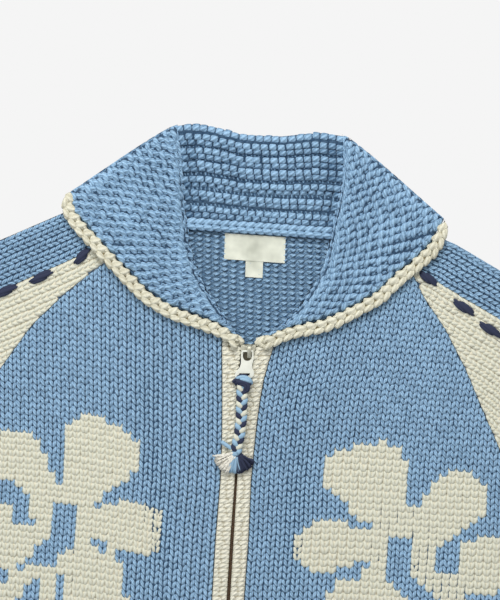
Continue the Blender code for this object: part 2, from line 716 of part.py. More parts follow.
def build_edging(side, material):
    """Cream edging around the fall, made from the fall's own edge and turned down round its tip."""
    inner, outer_edge = (Vector(place) for place in (START_LEFT if side.sign < 0 else START_RIGHT))
    rows = [(inner, outer_edge, FALL_BASE, 0.8)]
    for row in [0.5 * step for step in range(2 * SHOULDER_ROW + 1)]:
        before, after = side.edge(max(row - 0.5, 0.0)), side.edge(min(row + 0.5, SHOULDER_ROW))
        along = (after - before).normalized()
        outward = Vector((along.y, -along.x)) * side.sign
        inner = side.edge(row) + outward * EDGING_GAP
        width = EDGING_WIDTH - 3.0 * (1.0 - smooth(row)) - 2.0 * smooth((row - SHOULDER_ROW + 1.5) / 1.5)
        rows.append((inner, inner + outward * width, FALL_BASE, 1.0))
    on_fold, beside, end = (Vector(tip) for tip in (TIP_LEFT if side.sign < 0 else TIP_RIGHT))
    shoulder = rows.pop()
    away = (on_fold - shoulder[0]).normalized()
    north = Vector((-away.y, away.x)) * side.sign
    inner = side.edge(SHOULDER_ROW) + away * EDGING_GAP
    rows.append((inner, on_fold, FALL_BASE, 1.0))
    rows.append((inner + north * (STEP + 0.05), on_fold + north * (STEP + 0.05), 0.0, 1.0))
    rows.append((side.edge(TOP_ROW - 0.4) + away * EDGING_GAP, beside, 0.0, 0.95))
    rows.append((side.edge(TOP_ROW) + away * EDGING_GAP, end, 3.0, 0.6))
    profile = (0.40, 0.86, 1.0, 0.86, 0.34)

    def point(column, row, outer):
        inner, outer_edge, base, share = rows[row]
        place = mix(inner, outer_edge, column / (len(profile) - 1))
        if not outer:
            return place.x, place.y, base
        top = FALL_BASE + EDGING_HEIGHT * profile[column]
        return place.x, place.y, base + (top - base) * share

    return add_wall("edging_" + side.name, len(profile) - 1, len(rows) - 1, point, material)


def build_neck_chain(left, right, material):
    """Raised chain along the back neck, under the edge of the stand."""
    start, end = left.roll(NECK_ROW), right.roll(NECK_ROW)
    along = (end - start).normalized()
    down = Vector((along.y, -along.x))
    start, end = start + along * 2.8, end - along * 3.4
    profile = (0.45, 0.9, 1.0, 0.85, 0.3)
    rows = 12

    def point(column, row, outer):
        place = mix(start, end, row / rows) + down * (GAP + CHAIN_WIDTH * column / (len(profile) - 1))
        height = FRONT_BASE + CHAIN_HEIGHT * profile[column] if outer else FRONT_BASE
        return place.x, place.y, height

    return add_wall("neck_chain", len(profile) - 1, rows, point, material)


def build_band(side, material):
    """Zip band, slightly crowned."""
    crown = (0.0, 0.5, 0.5, 0.0)

    def point(column, row, outer):
        place = mix(side.band_outer(BANDS[row]), side.band_inner(BANDS[row]), column / (len(crown) - 1))
        return place.x, place.y, BAND_TOP - 0.5 + crown[column] if outer else BAND_BASE

    return add_wall("zip_band_" + side.name, len(crown) - 1, len(BANDS) - 1, point, material)


def build_tape(side, material):
    """Zip tape under its band, up to the middle of the slit."""
    rows = []
    for index, entry in enumerate(BANDS):
        middle = (entry.left_inner + entry.right_inner) / 2.0 + side.sign * GAP / 2.0
        beside_slider = index < 2
        inner = side.band_inner(entry) if beside_slider else Vector((middle, entry.y))
        rows.append((side.band_inner(entry) + Vector((side.sign * TAPE_WIDTH, 0.0)), inner))
        if index == 1:
            below = Vector((middle, entry.y - 2.5))
            rows.append((rows[-1][0] + Vector((0.0, -2.5)), below))

    def point(column, row, outer):
        place = rows[row][column]
        return place.x, place.y, FRONT_BASE + (TAPE_THICK if outer else 0.0)

    return add_wall("zip_tape_" + side.name, 1, len(rows) - 1, point, material)


def prism(outline, axis_start, axis_end, to_space):
    """Extrude a closed outline: to_space(point, depth) turns an outline point into space."""
    shape = bmesh.new()
    verts = [shape.verts.new(to_space(point, axis_start) * MM) for point in outline]
    face = shape.faces.new(verts)
    skin = bmesh.ops.extrude_face_region(shape, geom=[face])
    moved = [item for item in skin["geom"] if isinstance(item, bmesh.types.BMVert)]
    depth = to_space(outline[0], axis_end) - to_space(outline[0], axis_start)
    bmesh.ops.translate(shape, verts=moved, vec=depth * MM)
    return shape


def add_cutter(name, shape):
    """Tool body for a Boolean, left out of the build."""
    cutter = add_bmesh(name, shape, finish(name, BROWN))
    cutter.hide_render = True
    cutter.display_type = "WIRE"
    return cutter


def join_tool(piece, cutter, operation):
    """Add or take away a tool body."""
    modifier = piece.modifiers.new(cutter.name, "BOOLEAN")
    modifier.operation = operation
    modifier.object = cutter


def build_slider(material):
    """Zip slider: two plates on a web, with a bail that arches over the pull tab's bar."""
    lower, upper, top = FRONT_BASE, 10.2, 11.2
    web, thick = 1.6, 1.0
    half = (SLIDER_RIGHT - SLIDER_LEFT) / 2.0
    outline = ((-half, lower), (half, lower), (half, lower + thick), (web, lower + thick), (web, upper),
               (half, upper), (half, top), (-half, top), (-half, upper), (-web, upper),
               (-web, lower + thick), (-half, lower + thick))
    middle = HINGE.x

    centre = SLIDER_LEFT + half
    body = prism(outline, 1.0, 1.0 - SLIDER_LENGTH,
                 lambda point, depth: Vector((centre + point[0], depth, point[1])))
    mouth = [vert for vert in body.verts if vert.co.y < 0.0]
    left_space = Matrix.Translation((-SLIDER_LEFT * MM, 0.0, 0.0))
    bmesh.ops.scale(body, vec=(SLIDER_MOUTH, 1.0, 1.0), space=left_space, verts=mouth)
    slider = add_bmesh("zip_slider", body, material)
    y, z = HINGE.y, HINGE.z
    arch = ((y + 6.8, top - 0.4), (y + 6.8, z - 0.6), (y + 4.4, z + 1.9), (y + 3.0, z + 2.9),
            (y - 4.4, z + 2.9), (y - 6.9, z + 1.4), (y - 6.9, top - 0.4), (y - 5.5, top - 0.4),
            (y - 5.5, z + 0.6), (y - 3.8, z + 1.5), (y + 2.4, z + 1.5), (y + 3.2, z + 0.9),
            (y + 3.2, top - 0.4))
    bail = prism(arch, middle - 0.7, middle + 3.1, lambda point, depth: Vector((depth, point[0], point[1])))
    join_tool(slider, add_cutter("bail_tool", bail), "UNION")
    return slider


def build_pull(axis_empty, material):
    """Pull tab with its bar on the hinge axis, flat over the bands at rest."""
    middle = -0.6  # the tab's centre line from the hinge point
    half_thick = 0.9
    right_side = ((5.2, 0.9), (6.1, -1.0), (6.3, -4.0), (6.3, -8.0), (6.0, -10.5), (5.8, -13.0),
                  (6.0, -15.5), (6.9, -17.4), (8.2, -19.3), (9.3, -21.8), (9.5, -24.5), (8.4, -26.4),
                  (6.0, -26.9))

    def leaning(x, y):
        return middle + x + TAB_LEAN * min(y + 9.0, 0.0), y

    outline = [leaning(x, y) for x, y in right_side]
    outline += [leaning(-x, y) for x, y in reversed(right_side)]

    def flat(point, depth):
        return Vector((point[0], point[1], depth))

    tab = add_bmesh("pull_tab", prism(outline, -half_thick, half_thick, flat), material)
    window = [(middle + 4.5 * math.cos(turn), -5.6 + 4.2 * math.sin(turn))
              for turn in (math.radians(step * 22.5) for step in range(8, 17))]
    window += [(middle + 4.5, -0.9), (middle - 4.5, -0.9)]
    slot = [leaning(x, y) for x, y in ((5.4, -22.2), (5.4, -24.4), (-5.4, -24.4), (-5.4, -22.2))]
    for name, cut in (("window_tool", window), ("slot_tool", slot)):
        tool = add_cutter(name, prism(cut, -3.0, 3.0, flat))
        tool.parent = axis_empty
        join_tool(tab, tool, "DIFFERENCE")
    tab.parent = axis_empty
    return tab


def build_braid(axis_empty, material):
    """Braid as a plain tube on the bands."""
    curve = bpy.data.curves.new("braid", "CURVE")
    curve.dimensions = "3D"
    curve.bevel_depth = BRAID_RADIUS * MM
    curve.bevel_resolution = 2
    curve.use_fill_caps = True
    spline = curve.splines.new("POLY")
    spline.points.add(len(BRAID_PATH) - 1)
    for point, place in zip(spline.points, BRAID_PATH):
        spot = (Vector((place.x, place.y, BAND_TOP + GAP + BRAID_RADIUS)) - HINGE) * MM
        point.co = (*spot, 1.0)
    curve.materials.append(material)
    braid = bpy.data.objects.new("braid", curve)
    bpy.context.scene.collection.objects.link(braid)
    braid.parent = axis_empty
    return braid


def build_tuft(entry, axis_empty, material):
    """Tassel tuft: a root block whose far face is divided and drawn out into strands."""
    root = Vector((4.0, 6.0, 4.4))
    shape = bmesh.new()
    bmesh.ops.create_cube(shape, size=1.0, matrix=Matrix.Diagonal((*root, 1.0)))
    ends = [face for face in shape.faces if face.normal.x > 0.9]
    tall = [edge for edge in ends[0].edges if abs(edge.verts[0].co.z - edge.verts[1].co.z) > 1.0]
    wide = [edge for edge in ends[0].edges if edge not in tall]
    bmesh.ops.subdivide_edges(shape, edges=wide, cuts=TUFT_STRANDS - 1, use_grid_fill=True)
    ends = [face for face in shape.faces if face.normal.x > 0.9]
    rungs = [edge for face in ends for edge in face.edges
             if abs(edge.verts[0].co.z - edge.verts[1].co.z) > 1.0]
    bmesh.ops.subdivide_edges(shape, edges=list(set(rungs)), cuts=1, use_grid_fill=True)
    ends = [face for face in shape.faces if face.normal.x > 0.9]
    bmesh.ops.inset_individual(shape, faces=ends, thickness=0.14)
    reach = entry.length / STRAND_STEPS
    for face in ends:
        centre = face.calc_center_median()
        turn = math.radians(entry.spread) * centre.y / root.y
        fall = 0.1 if centre.z > 0.0 else 0.25
        for step in range(STRAND_STEPS):
            skin = bmesh.ops.extrude_discrete_faces(shape, faces=[face])
            face = skin["faces"][0]
            heading = Vector((math.cos(turn), math.sin(turn), 0.0))
            drop = Vector((0.0, 0.0, fall * step * 0.6))
            bmesh.ops.translate(shape, verts=face.verts, vec=heading * reach - drop)
            if step == STRAND_STEPS - 1:
                bmesh.ops.scale(shape, verts=face.verts, vec=(0.6, 0.6, 0.6),
                                space=Matrix.Translation(-face.calc_center_median()))
    place = Vector((entry.x, entry.y, TUFT_BASE + root.z / 2.0)) - HINGE
    turn = Matrix.Rotation(math.radians(entry.bearing), 4, "Z")
    bmesh.ops.transform(shape, matrix=Matrix.Diagonal((MM, MM, MM, 1.0)) @ Matrix.Translation(place) @ turn,
                        verts=shape.verts)
    tuft = add_bmesh(entry.name, shape, material)
    tuft.parent = axis_empty
    return tuft


def build_label(name, corners, base, lifted, material):
    """Woven label by its four corners, lifted a little where it passes over another."""
    shares = (0.0, 0.2, 0.34, 0.5, 0.66, 0.8, 1.0)
    top_left, top_right, low_right, low_left = (Vector(corner) for corner in corners)

    def point(column, row, outer):
        share = shares[column]
        place = mix(mix(low_left, low_right, share), mix(top_left, top_right, share), float(row))
        height = base + (lifted if 0.3 < share < 0.7 else 0.0)
        return place.x, place.y, height + (LABEL_THICK if outer else 0.0)

    return add_wall(name, len(shares) - 1, 1, point, material)


def build_zip_stop(material):
    """Box that closes the foot of the zip, in the slit between the bands."""
    entry = BANDS[-1]
    middle = (entry.left_inner + entry.right_inner) / 2.0
    shape = bmesh.new()
    size = Vector((3.0, 9.0, 3.4))
    bmesh.ops.create_cube(shape, size=1.0, matrix=Matrix.Diagonal((*size, 1.0)))
    bmesh.ops.bevel(shape, geom=shape.edges[:], offset=0.5, offset_type="OFFSET", segments=1, profile=0.5,
                    affect="EDGES", material=-1)
    height = FRONT_BASE + TAPE_THICK + GAP + size.z / 2.0
    place = Vector((middle + 0.25, entry.y + size.y / 2.0 + 1.0, height))
    scale = Matrix.Diagonal((MM, MM, MM, 1.0))
    bmesh.ops.transform(shape, matrix=scale @ Matrix.Translation(place), verts=shape.verts)
    return add_bmesh("zip_stop", shape, material)


def centre_on_table(base):
    """Move the whole cardigan so that its box stands centred over the origin."""
    bpy.context.view_layer.update()
    corners = [piece.matrix_world @ Vector(corner) for piece in bpy.data.objects
               if piece.type in {"MESH", "CURVE"} and not piece.hide_render for corner in piece.bound_box]
    lows = [min(corner[axis] for corner in corners) for axis in range(2)]
    highs = [max(corner[axis] for corner in corners) for axis in range(2)]
    base.location = (-(lows[0] + highs[0]) / 2.0, -(lows[1] + highs[1]) / 2.0, 0.0)
    bpy.context.view_layer.update()


def main():
    for piece in list(bpy.data.objects):
        bpy.data.objects.remove(piece, do_unlink=True)

    left = Side("left", COLLAR_LEFT, RAGLAN_LEFT, SLEEVE_LEFT, -1)
    right = Side("right", COLLAR_RIGHT, RAGLAN_RIGHT, SLEEVE_RIGHT, 1)
    base = bpy.data.objects.new("cardigan", None)
    axis_empty = bpy.data.objects.new("pull_axis", None)
    for empty in (base, axis_empty):
        bpy.context.scene.collection.objects.link(empty)
    axis_empty.location = HINGE * MM

    build_back(left, right, finish("back", SKY))
    for side in (left, right):
        build_front(side, finish("front_" + side.name, SKY))
        build_sleeve(side, finish("sleeve_" + side.name, SKY))
        build_cuff(side, finish("cuff_" + side.name, SKY))
        build_front_hem(side, finish("hem_" + side.name, SKY))
        build_edging(side, finish("edging_" + side.name, CREAM))
        build_band(side, finish("zip_band_" + side.name, CREAM))
        build_tape(side, finish("zip_tape_" + side.name, BROWN))
    build_back_hem(left, right, finish("hem_back", SKY))
    Collar(left, right).build(finish("collar", SKY))
    build_neck_chain(left, right, finish("neck_chain", SKY))
    build_label("neck_label", NECK_LABEL, FRONT_BASE, LABEL_THICK + GAP, finish("neck_label", SATIN, 0.5))
    build_label("size_label", SIZE_LABEL, FRONT_BASE, 0.0, finish("size_label", SATIN, 0.5))
    build_slider(finish("zip_slider", NICKEL, 0.35, 1.0))
    build_zip_stop(finish("zip_stop", NICKEL, 0.35, 1.0))
    build_pull(axis_empty, finish("pull_tab", NICKEL, 0.35, 1.0))
    build_braid(axis_empty, finish("braid", SKY))
    for entry in TUFTS:
        build_tuft(entry, axis_empty, finish(entry.name, entry.colour))

    for piece in bpy.data.objects:
        if piece is not base and piece.parent is None:
            piece.parent = base
    centre_on_table(base)


main()
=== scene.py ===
"""Cowichan cardigan laid flat: yarn, stitches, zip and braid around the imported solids.

Lengths are garment millimetres: the origin is the zip's top end, X runs across and Y toward the collar.
"""
import json
import logging
import math
from dataclasses import dataclass, field
from enum import Enum
from typing import Callable, Dict, List, Optional, Sequence, Tuple, Union

import bmesh
import bpy
import numpy as np
from mathutils import Matrix, Vector
from mathutils.bvhtree import BVHTree

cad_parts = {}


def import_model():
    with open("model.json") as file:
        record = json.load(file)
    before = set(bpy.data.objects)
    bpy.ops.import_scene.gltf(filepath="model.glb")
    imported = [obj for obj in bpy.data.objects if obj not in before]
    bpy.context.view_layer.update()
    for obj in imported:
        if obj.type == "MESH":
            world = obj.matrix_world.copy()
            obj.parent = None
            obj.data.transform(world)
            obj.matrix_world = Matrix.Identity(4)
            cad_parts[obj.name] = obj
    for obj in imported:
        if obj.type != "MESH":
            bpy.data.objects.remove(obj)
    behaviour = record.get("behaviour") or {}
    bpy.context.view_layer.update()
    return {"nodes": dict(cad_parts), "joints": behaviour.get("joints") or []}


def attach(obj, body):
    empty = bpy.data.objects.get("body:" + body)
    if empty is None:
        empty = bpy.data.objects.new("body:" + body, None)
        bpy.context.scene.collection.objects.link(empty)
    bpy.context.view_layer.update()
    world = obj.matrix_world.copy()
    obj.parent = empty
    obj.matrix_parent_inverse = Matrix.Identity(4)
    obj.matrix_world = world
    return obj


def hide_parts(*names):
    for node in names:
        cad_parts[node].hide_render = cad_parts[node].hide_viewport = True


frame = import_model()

LOG = logging.getLogger("cardigan")
Array = np.ndarray
Colour = Tuple[float, float, float]
Table = Tuple[Tuple[float, ...], ...]
Piece = bpy.types.Object
MM = 0.001
HINGE = np.array((5.0, -6.0, 13.0))
OFFSET = np.array(frame["joints"][0]["pos_m"]) / MM - HINGE
WALL = 5.0
FRONT_TOP = 10.3
FALL_BASE = 10.6
BAND_TOP = 11.5
LEAN = 0.0556
SEED = 11
# Depth under the collar past which stitches are left out
HIDDEN = 4.0
# How far a panel's ground lies under its solid's face, where the face starts, and how high stitches lie over it
GROUND_DROP, FACE, CROWN = 1.7, 9.5, 0.35
# A knit leg's foot and head: shares of a stitch down or up the column, and along the row
LEG_FOOT, LEG_HEAD = (0.66, 0.095), (0.84, 0.42)
# Painted light and shade on a length of yarn: how much its tone grows on its crown, and falls at its ends and flanks
PAINTED_CROWN_LIGHT, PAINTED_END_SHADE, PAINTED_FLANK_SHADE = 0.16, 0.22, 0.08

# Collar rows from the zip up to the silhouette: roll line x, y, then the fall's edge x, y
COLLAR = {
    "left": ((-3, 5, -8, 9.5), (-12, 17, -19, 19), (-23, 33, -38, 27), (-37.3, 53.6, -71, 39.3), (-47, 73, -95, 55),
             (-53.2, 93.5, -116, 76.5), (-56, 110, -132, 93), (-57.4, 126, -145, 107.5), (-59, 145, -156, 119.5),
             (-60.3, 165, -164, 128.5), (-61.5, 183.5, -170.5, 136.5), (-66, 219.5, -171.5, 153.5)),
    "right": ((19, 6, 25, 8.4), (29, 13, 39, 15.5), (42, 21.7, 57, 20.5), (59.6, 41, 84, 27), (70.8, 58.4, 109, 39),
              (82, 77.5, 133, 53), (86.7, 98, 150.5, 69.6), (90, 116, 165, 81), (94, 133.4, 178, 93),
              (98, 155, 187.5, 102), (100.8, 173.6, 191.7, 110.5), (100, 209.5, 201.5, 125.5)),
}
NECK_ROW, SHOULDER_ROW, TOP_ROW = 7, 10, 11
LIP, LIP_SHARE = 10.3, 0.85
STAND_HEIGHTS = (0.0, 0.216, 0.443, 0.653, 1.0)
TOP_EDGE = ((-66, 219.5), (-58, 221), (-43, 221.4), (-27, 218), (-4, 211.2), (19, 209.6), (42, 209), (53, 210.6),
            (74, 213), (100, 209.5))
TOP_SWELL = 2.7
# Raglan rows: seam x, y, then the shoulder fold's x, y
RAGLAN = {
    "left": ((-101, 114, -119.7, 158.1), (-122, 97, -143.6, 147.8), (-143, 79, -167.4, 137.6),
             (-176.5, 53, -206, 121), (-211, 20, -244.5, 104.4), (-243, -24, -282.4, 88), (-270, -66, -327, 66),
             (-293, -129, -377, 32)),
    "right": ((131, 101, 155.1, 135.9), (165, 81, 191, 110.9), (180, 49, 212.8, 100.9), (202.5, 15, 239.5, 85.1),
              (221.5, -22, 268.9, 67.8), (240, -66, 303.6, 46.5), (259, -110, 340, 18), (277, -161, 407, -48)),
}
# Sleeve sections past the underarm: step along, bearing below the horizontal, half width
SLEEVE = {
    "left": ((80, 33, 83), (80, 39, 75), (80, 45, 67), (80, 50, 60), (65, 53, 55)),
    "right": ((80, 53, 81), (80, 58, 74), (80, 63, 67), (80, 67, 60), (65, 69, 55)),
}
CUFF_HALF_WIDTH, CUFF_LENGTH, CUFF_RIBS = 46.0, 65.0, 9
# Zip bands: y, left outer, left inner, right inner, right outer
BANDS = np.array((
    (-1.6, -21.0, -2.7, 14.0, 30.4), (-17, -20.8, -4.2, 10.0, 25.5), (-35, -20.7, -5.2, 4.5, 20.5),
    (-55, -20.7, -5.8, 0.6, 16.8), (-80, -20.8, -6.4, -2.5, 13.4), (-105, -21.2, -7.1, -4.7, 10.8),
    (-135, -22.3, -8.2, -5.8, 7.9), (-195, -27.3, -12.8, -9.4, 5.2), (-252, -30.7, -16.2, -12.8, 1.0),
    (-340, -36.4, -21.2, -17.4, -2.2), (-428, -41.3, -26.1, -22.1, -7.1), (-490, -44.6, -29.4, -25.4, -10.6)))
# Sides of the body: y on the zip line and half width
SIDES = ((-180, 284), (-215, 283), (-250, 282), (-280, 281), (-310, 280.5), (-340, 280), (-370, 279.5), (-400, 279),
         (-428, 278))
HEM_BOTTOM = (-490, 263)
HEM_RIBS = 22
EDGING_WIDTH, EDGING_GAP = 12.5, 0.5
EDGING_START = {"left": ((-2.4, 2.8), (-13.2, 1.0)), "right": ((16.8, 2.8), (28.8, -0.4))}
EDGING_TIP = {"left": ((-178.3, 133.1), (-178.8, 142.6), (-175.1, 151.7)),
              "right": ((201.7, 106.4), (203.7, 112.0), (204.2, 118.2))}
# Angle of the falls' rows below the horizontal, by collar row
GRAIN_LEAN = {"left": ((0, 36), (2, 26), (3, 18), (4, 10), (5, 1), (6, -4), (8, -7), (11, -10)),
              "right": ((0, 20), (2, 10), (4, 0), (7, -18), (11, -22))}
BRAID_PATH = ((1.0, -34.8), (-0.6, -43.0), (-1.2, -58.0), (-1.8, -74.0), (-3.4, -88.0), (-5.6, -99.0), (-7.4, -107.0))
BRAID_HEIGHT = 16.6
# Loose colour tufts fanned from the braid's tie: bearings of their sides, length
BRAID_TIE = (-6.6, -107.0)
TUFTS = {"cream": (192.0, 251.0, 22.5), "sky": (244.0, 280.0, 20.5), "navy": (272.0, 330.0, 20.5)}
NECK_LABEL = ((-18, 111.9), (42.7, 107.8), (41.8, 81.8), (-19, 86.0))
SIZE_LABEL = ((2.7, 86), (20.2, 84.8), (19.5, 67), (2.2, 68.2))

# Flowers knitted into the fronts. Each petal: root x, y, tip x, y, half width at the root and at the tip
PETALS = {
    "left": ((-186, -168, -244, -92, 12, 38), (-172, -165, -128, -80, 9, 55), (-173, -179, -79, -186, 14, 34),
             (-160, -196, -149, -300, 31, 41), (-195, -220, -233, -295, 26, 40), (-191, -190, -278, -195, 28, 35)),
    "right": ((154, -190, 131, -99, 15, 31), (140, -182, 96, -107, 12, 35), (142, -201, 52, -203, 15, 31),
              (170, -200, 235, -134, 18, 34), (187, -230, 277, -215, 22, 32), (133, -212, 122, -262, 13, 18),
              (122, -267, 104, -320, 40, 44), (182, -235, 212, -315, 26, 40)),
}
# Share of a petal where its tip starts, and how square the tip is
TIP_FROM, TIP_SQUARE = 0.56, 2.2
# Openings in the flowers: x, y, half width, half height, slant of its sides
SLOTS = {
    "left": ((-180.5, -178, 11, 18, 0.05), (-196, -209, 17, 13.5, 0.9), (-222, -167, 11, 13, 0.0),
             (-237, -144, 14, 10, -1.0), (-142.5, -201, 6.5, 8, -0.3), (-182, -250, 4.3, 18, 0.0),
             (-214, -252, 9, 15, 0.4)),
    "right": ((158, -215.5, 12, 20, -0.03), (170, -245, 15, 14, -0.9), (205, -214, 12, 14, 0.0),
              (228, -190, 14, 9, 1.0), (119, -181, 13.5, 5.5, 0.0), (112.5, -226, 8.5, 8, 0.5),
              (143, -286, 6, 16, 0.0), (200, -284, 9, 14, -0.3)),
}
# First running stitches along the saddle: x, y, bearing and share of the length; the rest follow evenly
RUNNING = {"left": ((-161, 88.7, 221, 0.82), (-202, 68, 202, 1.0), (-237.4, 54, 200, 1.0)),
           "right": ((185.2, 66.6, -42.5, 0.86), (220.6, 37.6, -39.3, 1.0), (247, 15.3, -38, 1.0))}

# Soft troughs and ridges where the cloth isn't quite flat: ends x, y, x, y, half width and depth
CREASES = ((-92, -40, -76, -300, 16, -0.9), (-60, 10, -52, -180, 14, 0.6), (-250, -60, -262, -330, 24, 0.7),
           (-150, -330, -120, -420, 20, -0.6), (60, -40, 44, -260, 15, -0.8), (230, -120, 262, -300, 22, 0.8),
           (110, -70, 96, -200, 20, 0.6), (100, -330, 140, -420, 18, -0.6), (-200, 90, -330, 20, 16, -0.7),
           (230, 50, 330, -30, 14, -0.7), (-380, -60, -470, -160, 26, 0.8), (390, -120, 450, -260, 24, 0.8),
           (-430, -40, -540, -170, 18, -0.8), (330, -100, 400, -270, 18, -0.8))


def world(points: Array) -> Array:
    """Garment millimetres as metres in the frame."""
    return (np.asarray(points, float) + OFFSET) * MM


def smooth(value: Array) -> Array:
    """Smooth step from 0 to 1."""
    value = np.clip(value, 0.0, 1.0)
    return value * value * (3.0 - 2.0 * value)


def unit(vectors: Array) -> Array:
    """Vectors made one long."""
    return vectors / np.maximum(np.linalg.norm(vectors, axis=-1, keepdims=True), 1e-9)


def raised(plan: Array, height: Union[float, Array] = 0.0) -> Array:
    """Plan points (n, 2) with one height or n heights, as points in space (n, 3)."""
    plan = np.asarray(plan, float)
    return np.column_stack((plan, np.broadcast_to(np.asarray(height, float), (len(plan),))))


def along_curve(points: Sequence, value: Union[float, Array]) -> Array:
    """Places on a smooth curve that passes through points at whole values.

    Args:
        points: the points, (m, d).
        value: where on the curve, one number or an array.
    Returns:
        The places, one row for each value.
    """
    points = np.asarray(points, float)
    value = np.asarray(value, float)
    last = len(points) - 1
    low = np.clip(value.astype(int), 0, last - 1)
    share = (value - low)[..., None]
    start, end = points[low], points[low + 1]
    before = np.where((low > 0)[..., None], points[np.maximum(low - 1, 0)], 2 * start - end)
    after = np.where((low + 2 <= last)[..., None], points[np.minimum(low + 2, last)], 2 * end - start)
    bend = (2 * before - 5 * start + 4 * end - after) * share ** 2
    twist = (3 * start - before - 3 * end + after) * share ** 3
    return start + ((end - before) * share + bend + twist) * 0.5


def spaced(line: Array, pitch: float, first: float = 0.0, last: float = 0.0) -> Tuple[Array, Array]:
    """Even steps along a line.

    Args:
        line: its points, (m, d).
        pitch: step, fitted to the length.
        first: length left free at the start.
        last: length left free at the end.
    Returns:
        The points and their distances along the line.
    """
    reach = lengths(line)
    span = reach[-1] - first - last
    count = max(int(round(span / pitch)), 1)
    steps = first + span * (np.arange(count) + 0.5) / count
    return between(steps, reach, line), steps


def directions(line: Array) -> Array:
    """Unit direction of a line at each of its points."""
    return unit(np.gradient(np.asarray(line, float), axis=0))


def lengths(line: Array) -> Array:
    """Distance along a line to each of its points."""
    return np.concatenate(((0.0,), np.cumsum(np.linalg.norm(np.diff(line, axis=0), axis=1))))


def between(at: Union[float, Array], steps: Array, table: Array) -> Array:
    """Rows of a table, read between its steps."""
    return np.stack([np.interp(at, steps, column) for column in np.asarray(table, float).T], axis=-1)


def turned(plan: Array) -> Array:
    """Plan directions, a quarter turn to the left."""
    return np.stack((-plan[..., 1], plan[..., 0]), axis=-1)


def upright(count: int) -> Array:
    """Straight up, once for each stitch."""
    return np.tile((0.0, 0.0, 1.0), (count, 1))


class Outline:
    """A closed outline in plan, to test and tuck points against."""

    def __init__(self, points: Sequence) -> None:
        """Keep the corners."""
        self.points = np.asarray(points, float)

    def nearest(self, plan: Array) -> Tuple[Array, Array]:
        """Nearest place on the outline, and how far inside each point lies.

        Args:
            plan: points, (n, 2).
        Returns:
            Nearest places (n, 2), and distances, negative outside (n).
        """
        starts, ends = self.points, np.roll(self.points, -1, axis=0)
        best = np.full(len(plan), 1e9)
        place = np.array(plan, float)
        inside = np.zeros(len(plan), bool)
        for start, end in zip(starts, ends):
            side = end - start
            share = np.clip(((plan - start) @ side) / max(side @ side, 1e-9), 0.0, 1.0)
            near = start + share[:, None] * side
            gap = np.linalg.norm(plan - near, axis=1)
            closer = gap < best
            best[closer], place[closer] = gap[closer], near[closer]
            if abs(end[1] - start[1]) > 1e-9:
                crosses = (start[1] > plan[:, 1]) != (end[1] > plan[:, 1])
                inside ^= crosses & (plan[:, 0] < side[0] * (plan[:, 1] - start[1]) / side[1] + start[0])
        return place, np.where(inside, best, -best)

    def depth(self, plan: Array) -> Array:
        """How far inside each point lies, negative outside."""
        return self.nearest(plan)[1]

    def tuck(self, points: Array, margin: float) -> Array:
        """Pull points that stand past the outline back into it, as a seam does.

        Args:
            points: places (n, 3).
            margin: distance kept from the outline.
        Returns:
            The places, pulled in and a little down.
        """
        near, depth = self.nearest(points[:, :2])
        out = depth < margin
        if out.any():
            toward = unit(points[out, :2] - near[out]) * np.where(depth[out] > 0, 1.0, -1.0)[:, None]
            points[out, :2] = near[out] + toward * margin
            points[out, 2] -= np.minimum(margin - depth[out], 2.5) * 0.35
        return points


class Top:
    """The upper face of a solid, to lay yarn on."""

    def __init__(self, *nodes: str) -> None:
        """Gather the nodes' faces in one tree."""
        verts: List[Vector] = []
        faces: List[Tuple[int, ...]] = []
        for name in nodes:
            mesh = frame["nodes"][name].data
            base = len(verts)
            verts += [vert.co.copy() for vert in mesh.vertices]
            faces += [tuple(base + index for index in face.vertices) for face in mesh.polygons]
        self.tree = BVHTree.FromPolygons(verts, faces)

    def height(self, plan: Array, otherwise: float = FRONT_TOP) -> Array:
        """Height of the upper face.

        Args:
            plan: points, (n, 2).
            otherwise: height where nothing lies under a point.
        Returns:
            Heights in millimetres.
        """
        heights = []
        for point in world(raised(plan)):
            hit = self.tree.ray_cast(Vector((point[0], point[1], 0.1)), Vector((0.0, 0.0, -1.0)))[0]
            heights.append(otherwise if hit is None else hit.z / MM)
        return np.array(heights)

    def normal(self, plan: Array, reach: float = 3.0) -> Array:
        """Direction square to the upper face.

        Args:
            plan: points, (n, 2).
            reach: distance over which the slope is taken.
        Returns:
            Unit vectors (n, 3).
        """
        middle = self.height(plan)
        slopes = []
        for step in ((reach, 0.0), (0.0, reach)):
            ahead, behind = self.height(plan + step), self.height(plan - step)
            slopes.append((np.clip(ahead - middle, -4, 4) + np.clip(middle - behind, -4, 4)) / (2 * reach))
        return unit(np.column_stack((-slopes[0], -slopes[1], np.ones(len(plan)))))


def crease_height(plan: Array) -> Array:
    """Lift of the soft troughs and ridges at plan points."""
    lift = np.zeros(len(plan))
    for x0, y0, x1, y1, half, depth in CREASES:
        start, side = np.array((x0, y0), float), np.array((x1 - x0, y1 - y0), float)
        share = ((plan - start) @ side) / (side @ side)
        near = start + np.clip(share, 0, 1)[:, None] * side
        lift += depth * np.exp(-(np.linalg.norm(plan - near, axis=1) / half) ** 2)
    return lift


# ---------------------------------------------------------------- finishes

Input = Union[float, Sequence, "Value", bpy.types.NodeSocket]


def operator(operation: str, swapped: bool = False) -> Callable[["Value", Input], "Value"]:
    """An arithmetic operator that adds a Math node.

    Args:
        operation: what the node does.
        swapped: whether the other number comes first.
    Returns:
        The operator.
    """
    def apply(value: "Value", other: Input) -> "Value":
        """Add the node."""
        return value.math(operation, other, value) if swapped else value.math(operation, value, other)
    return apply


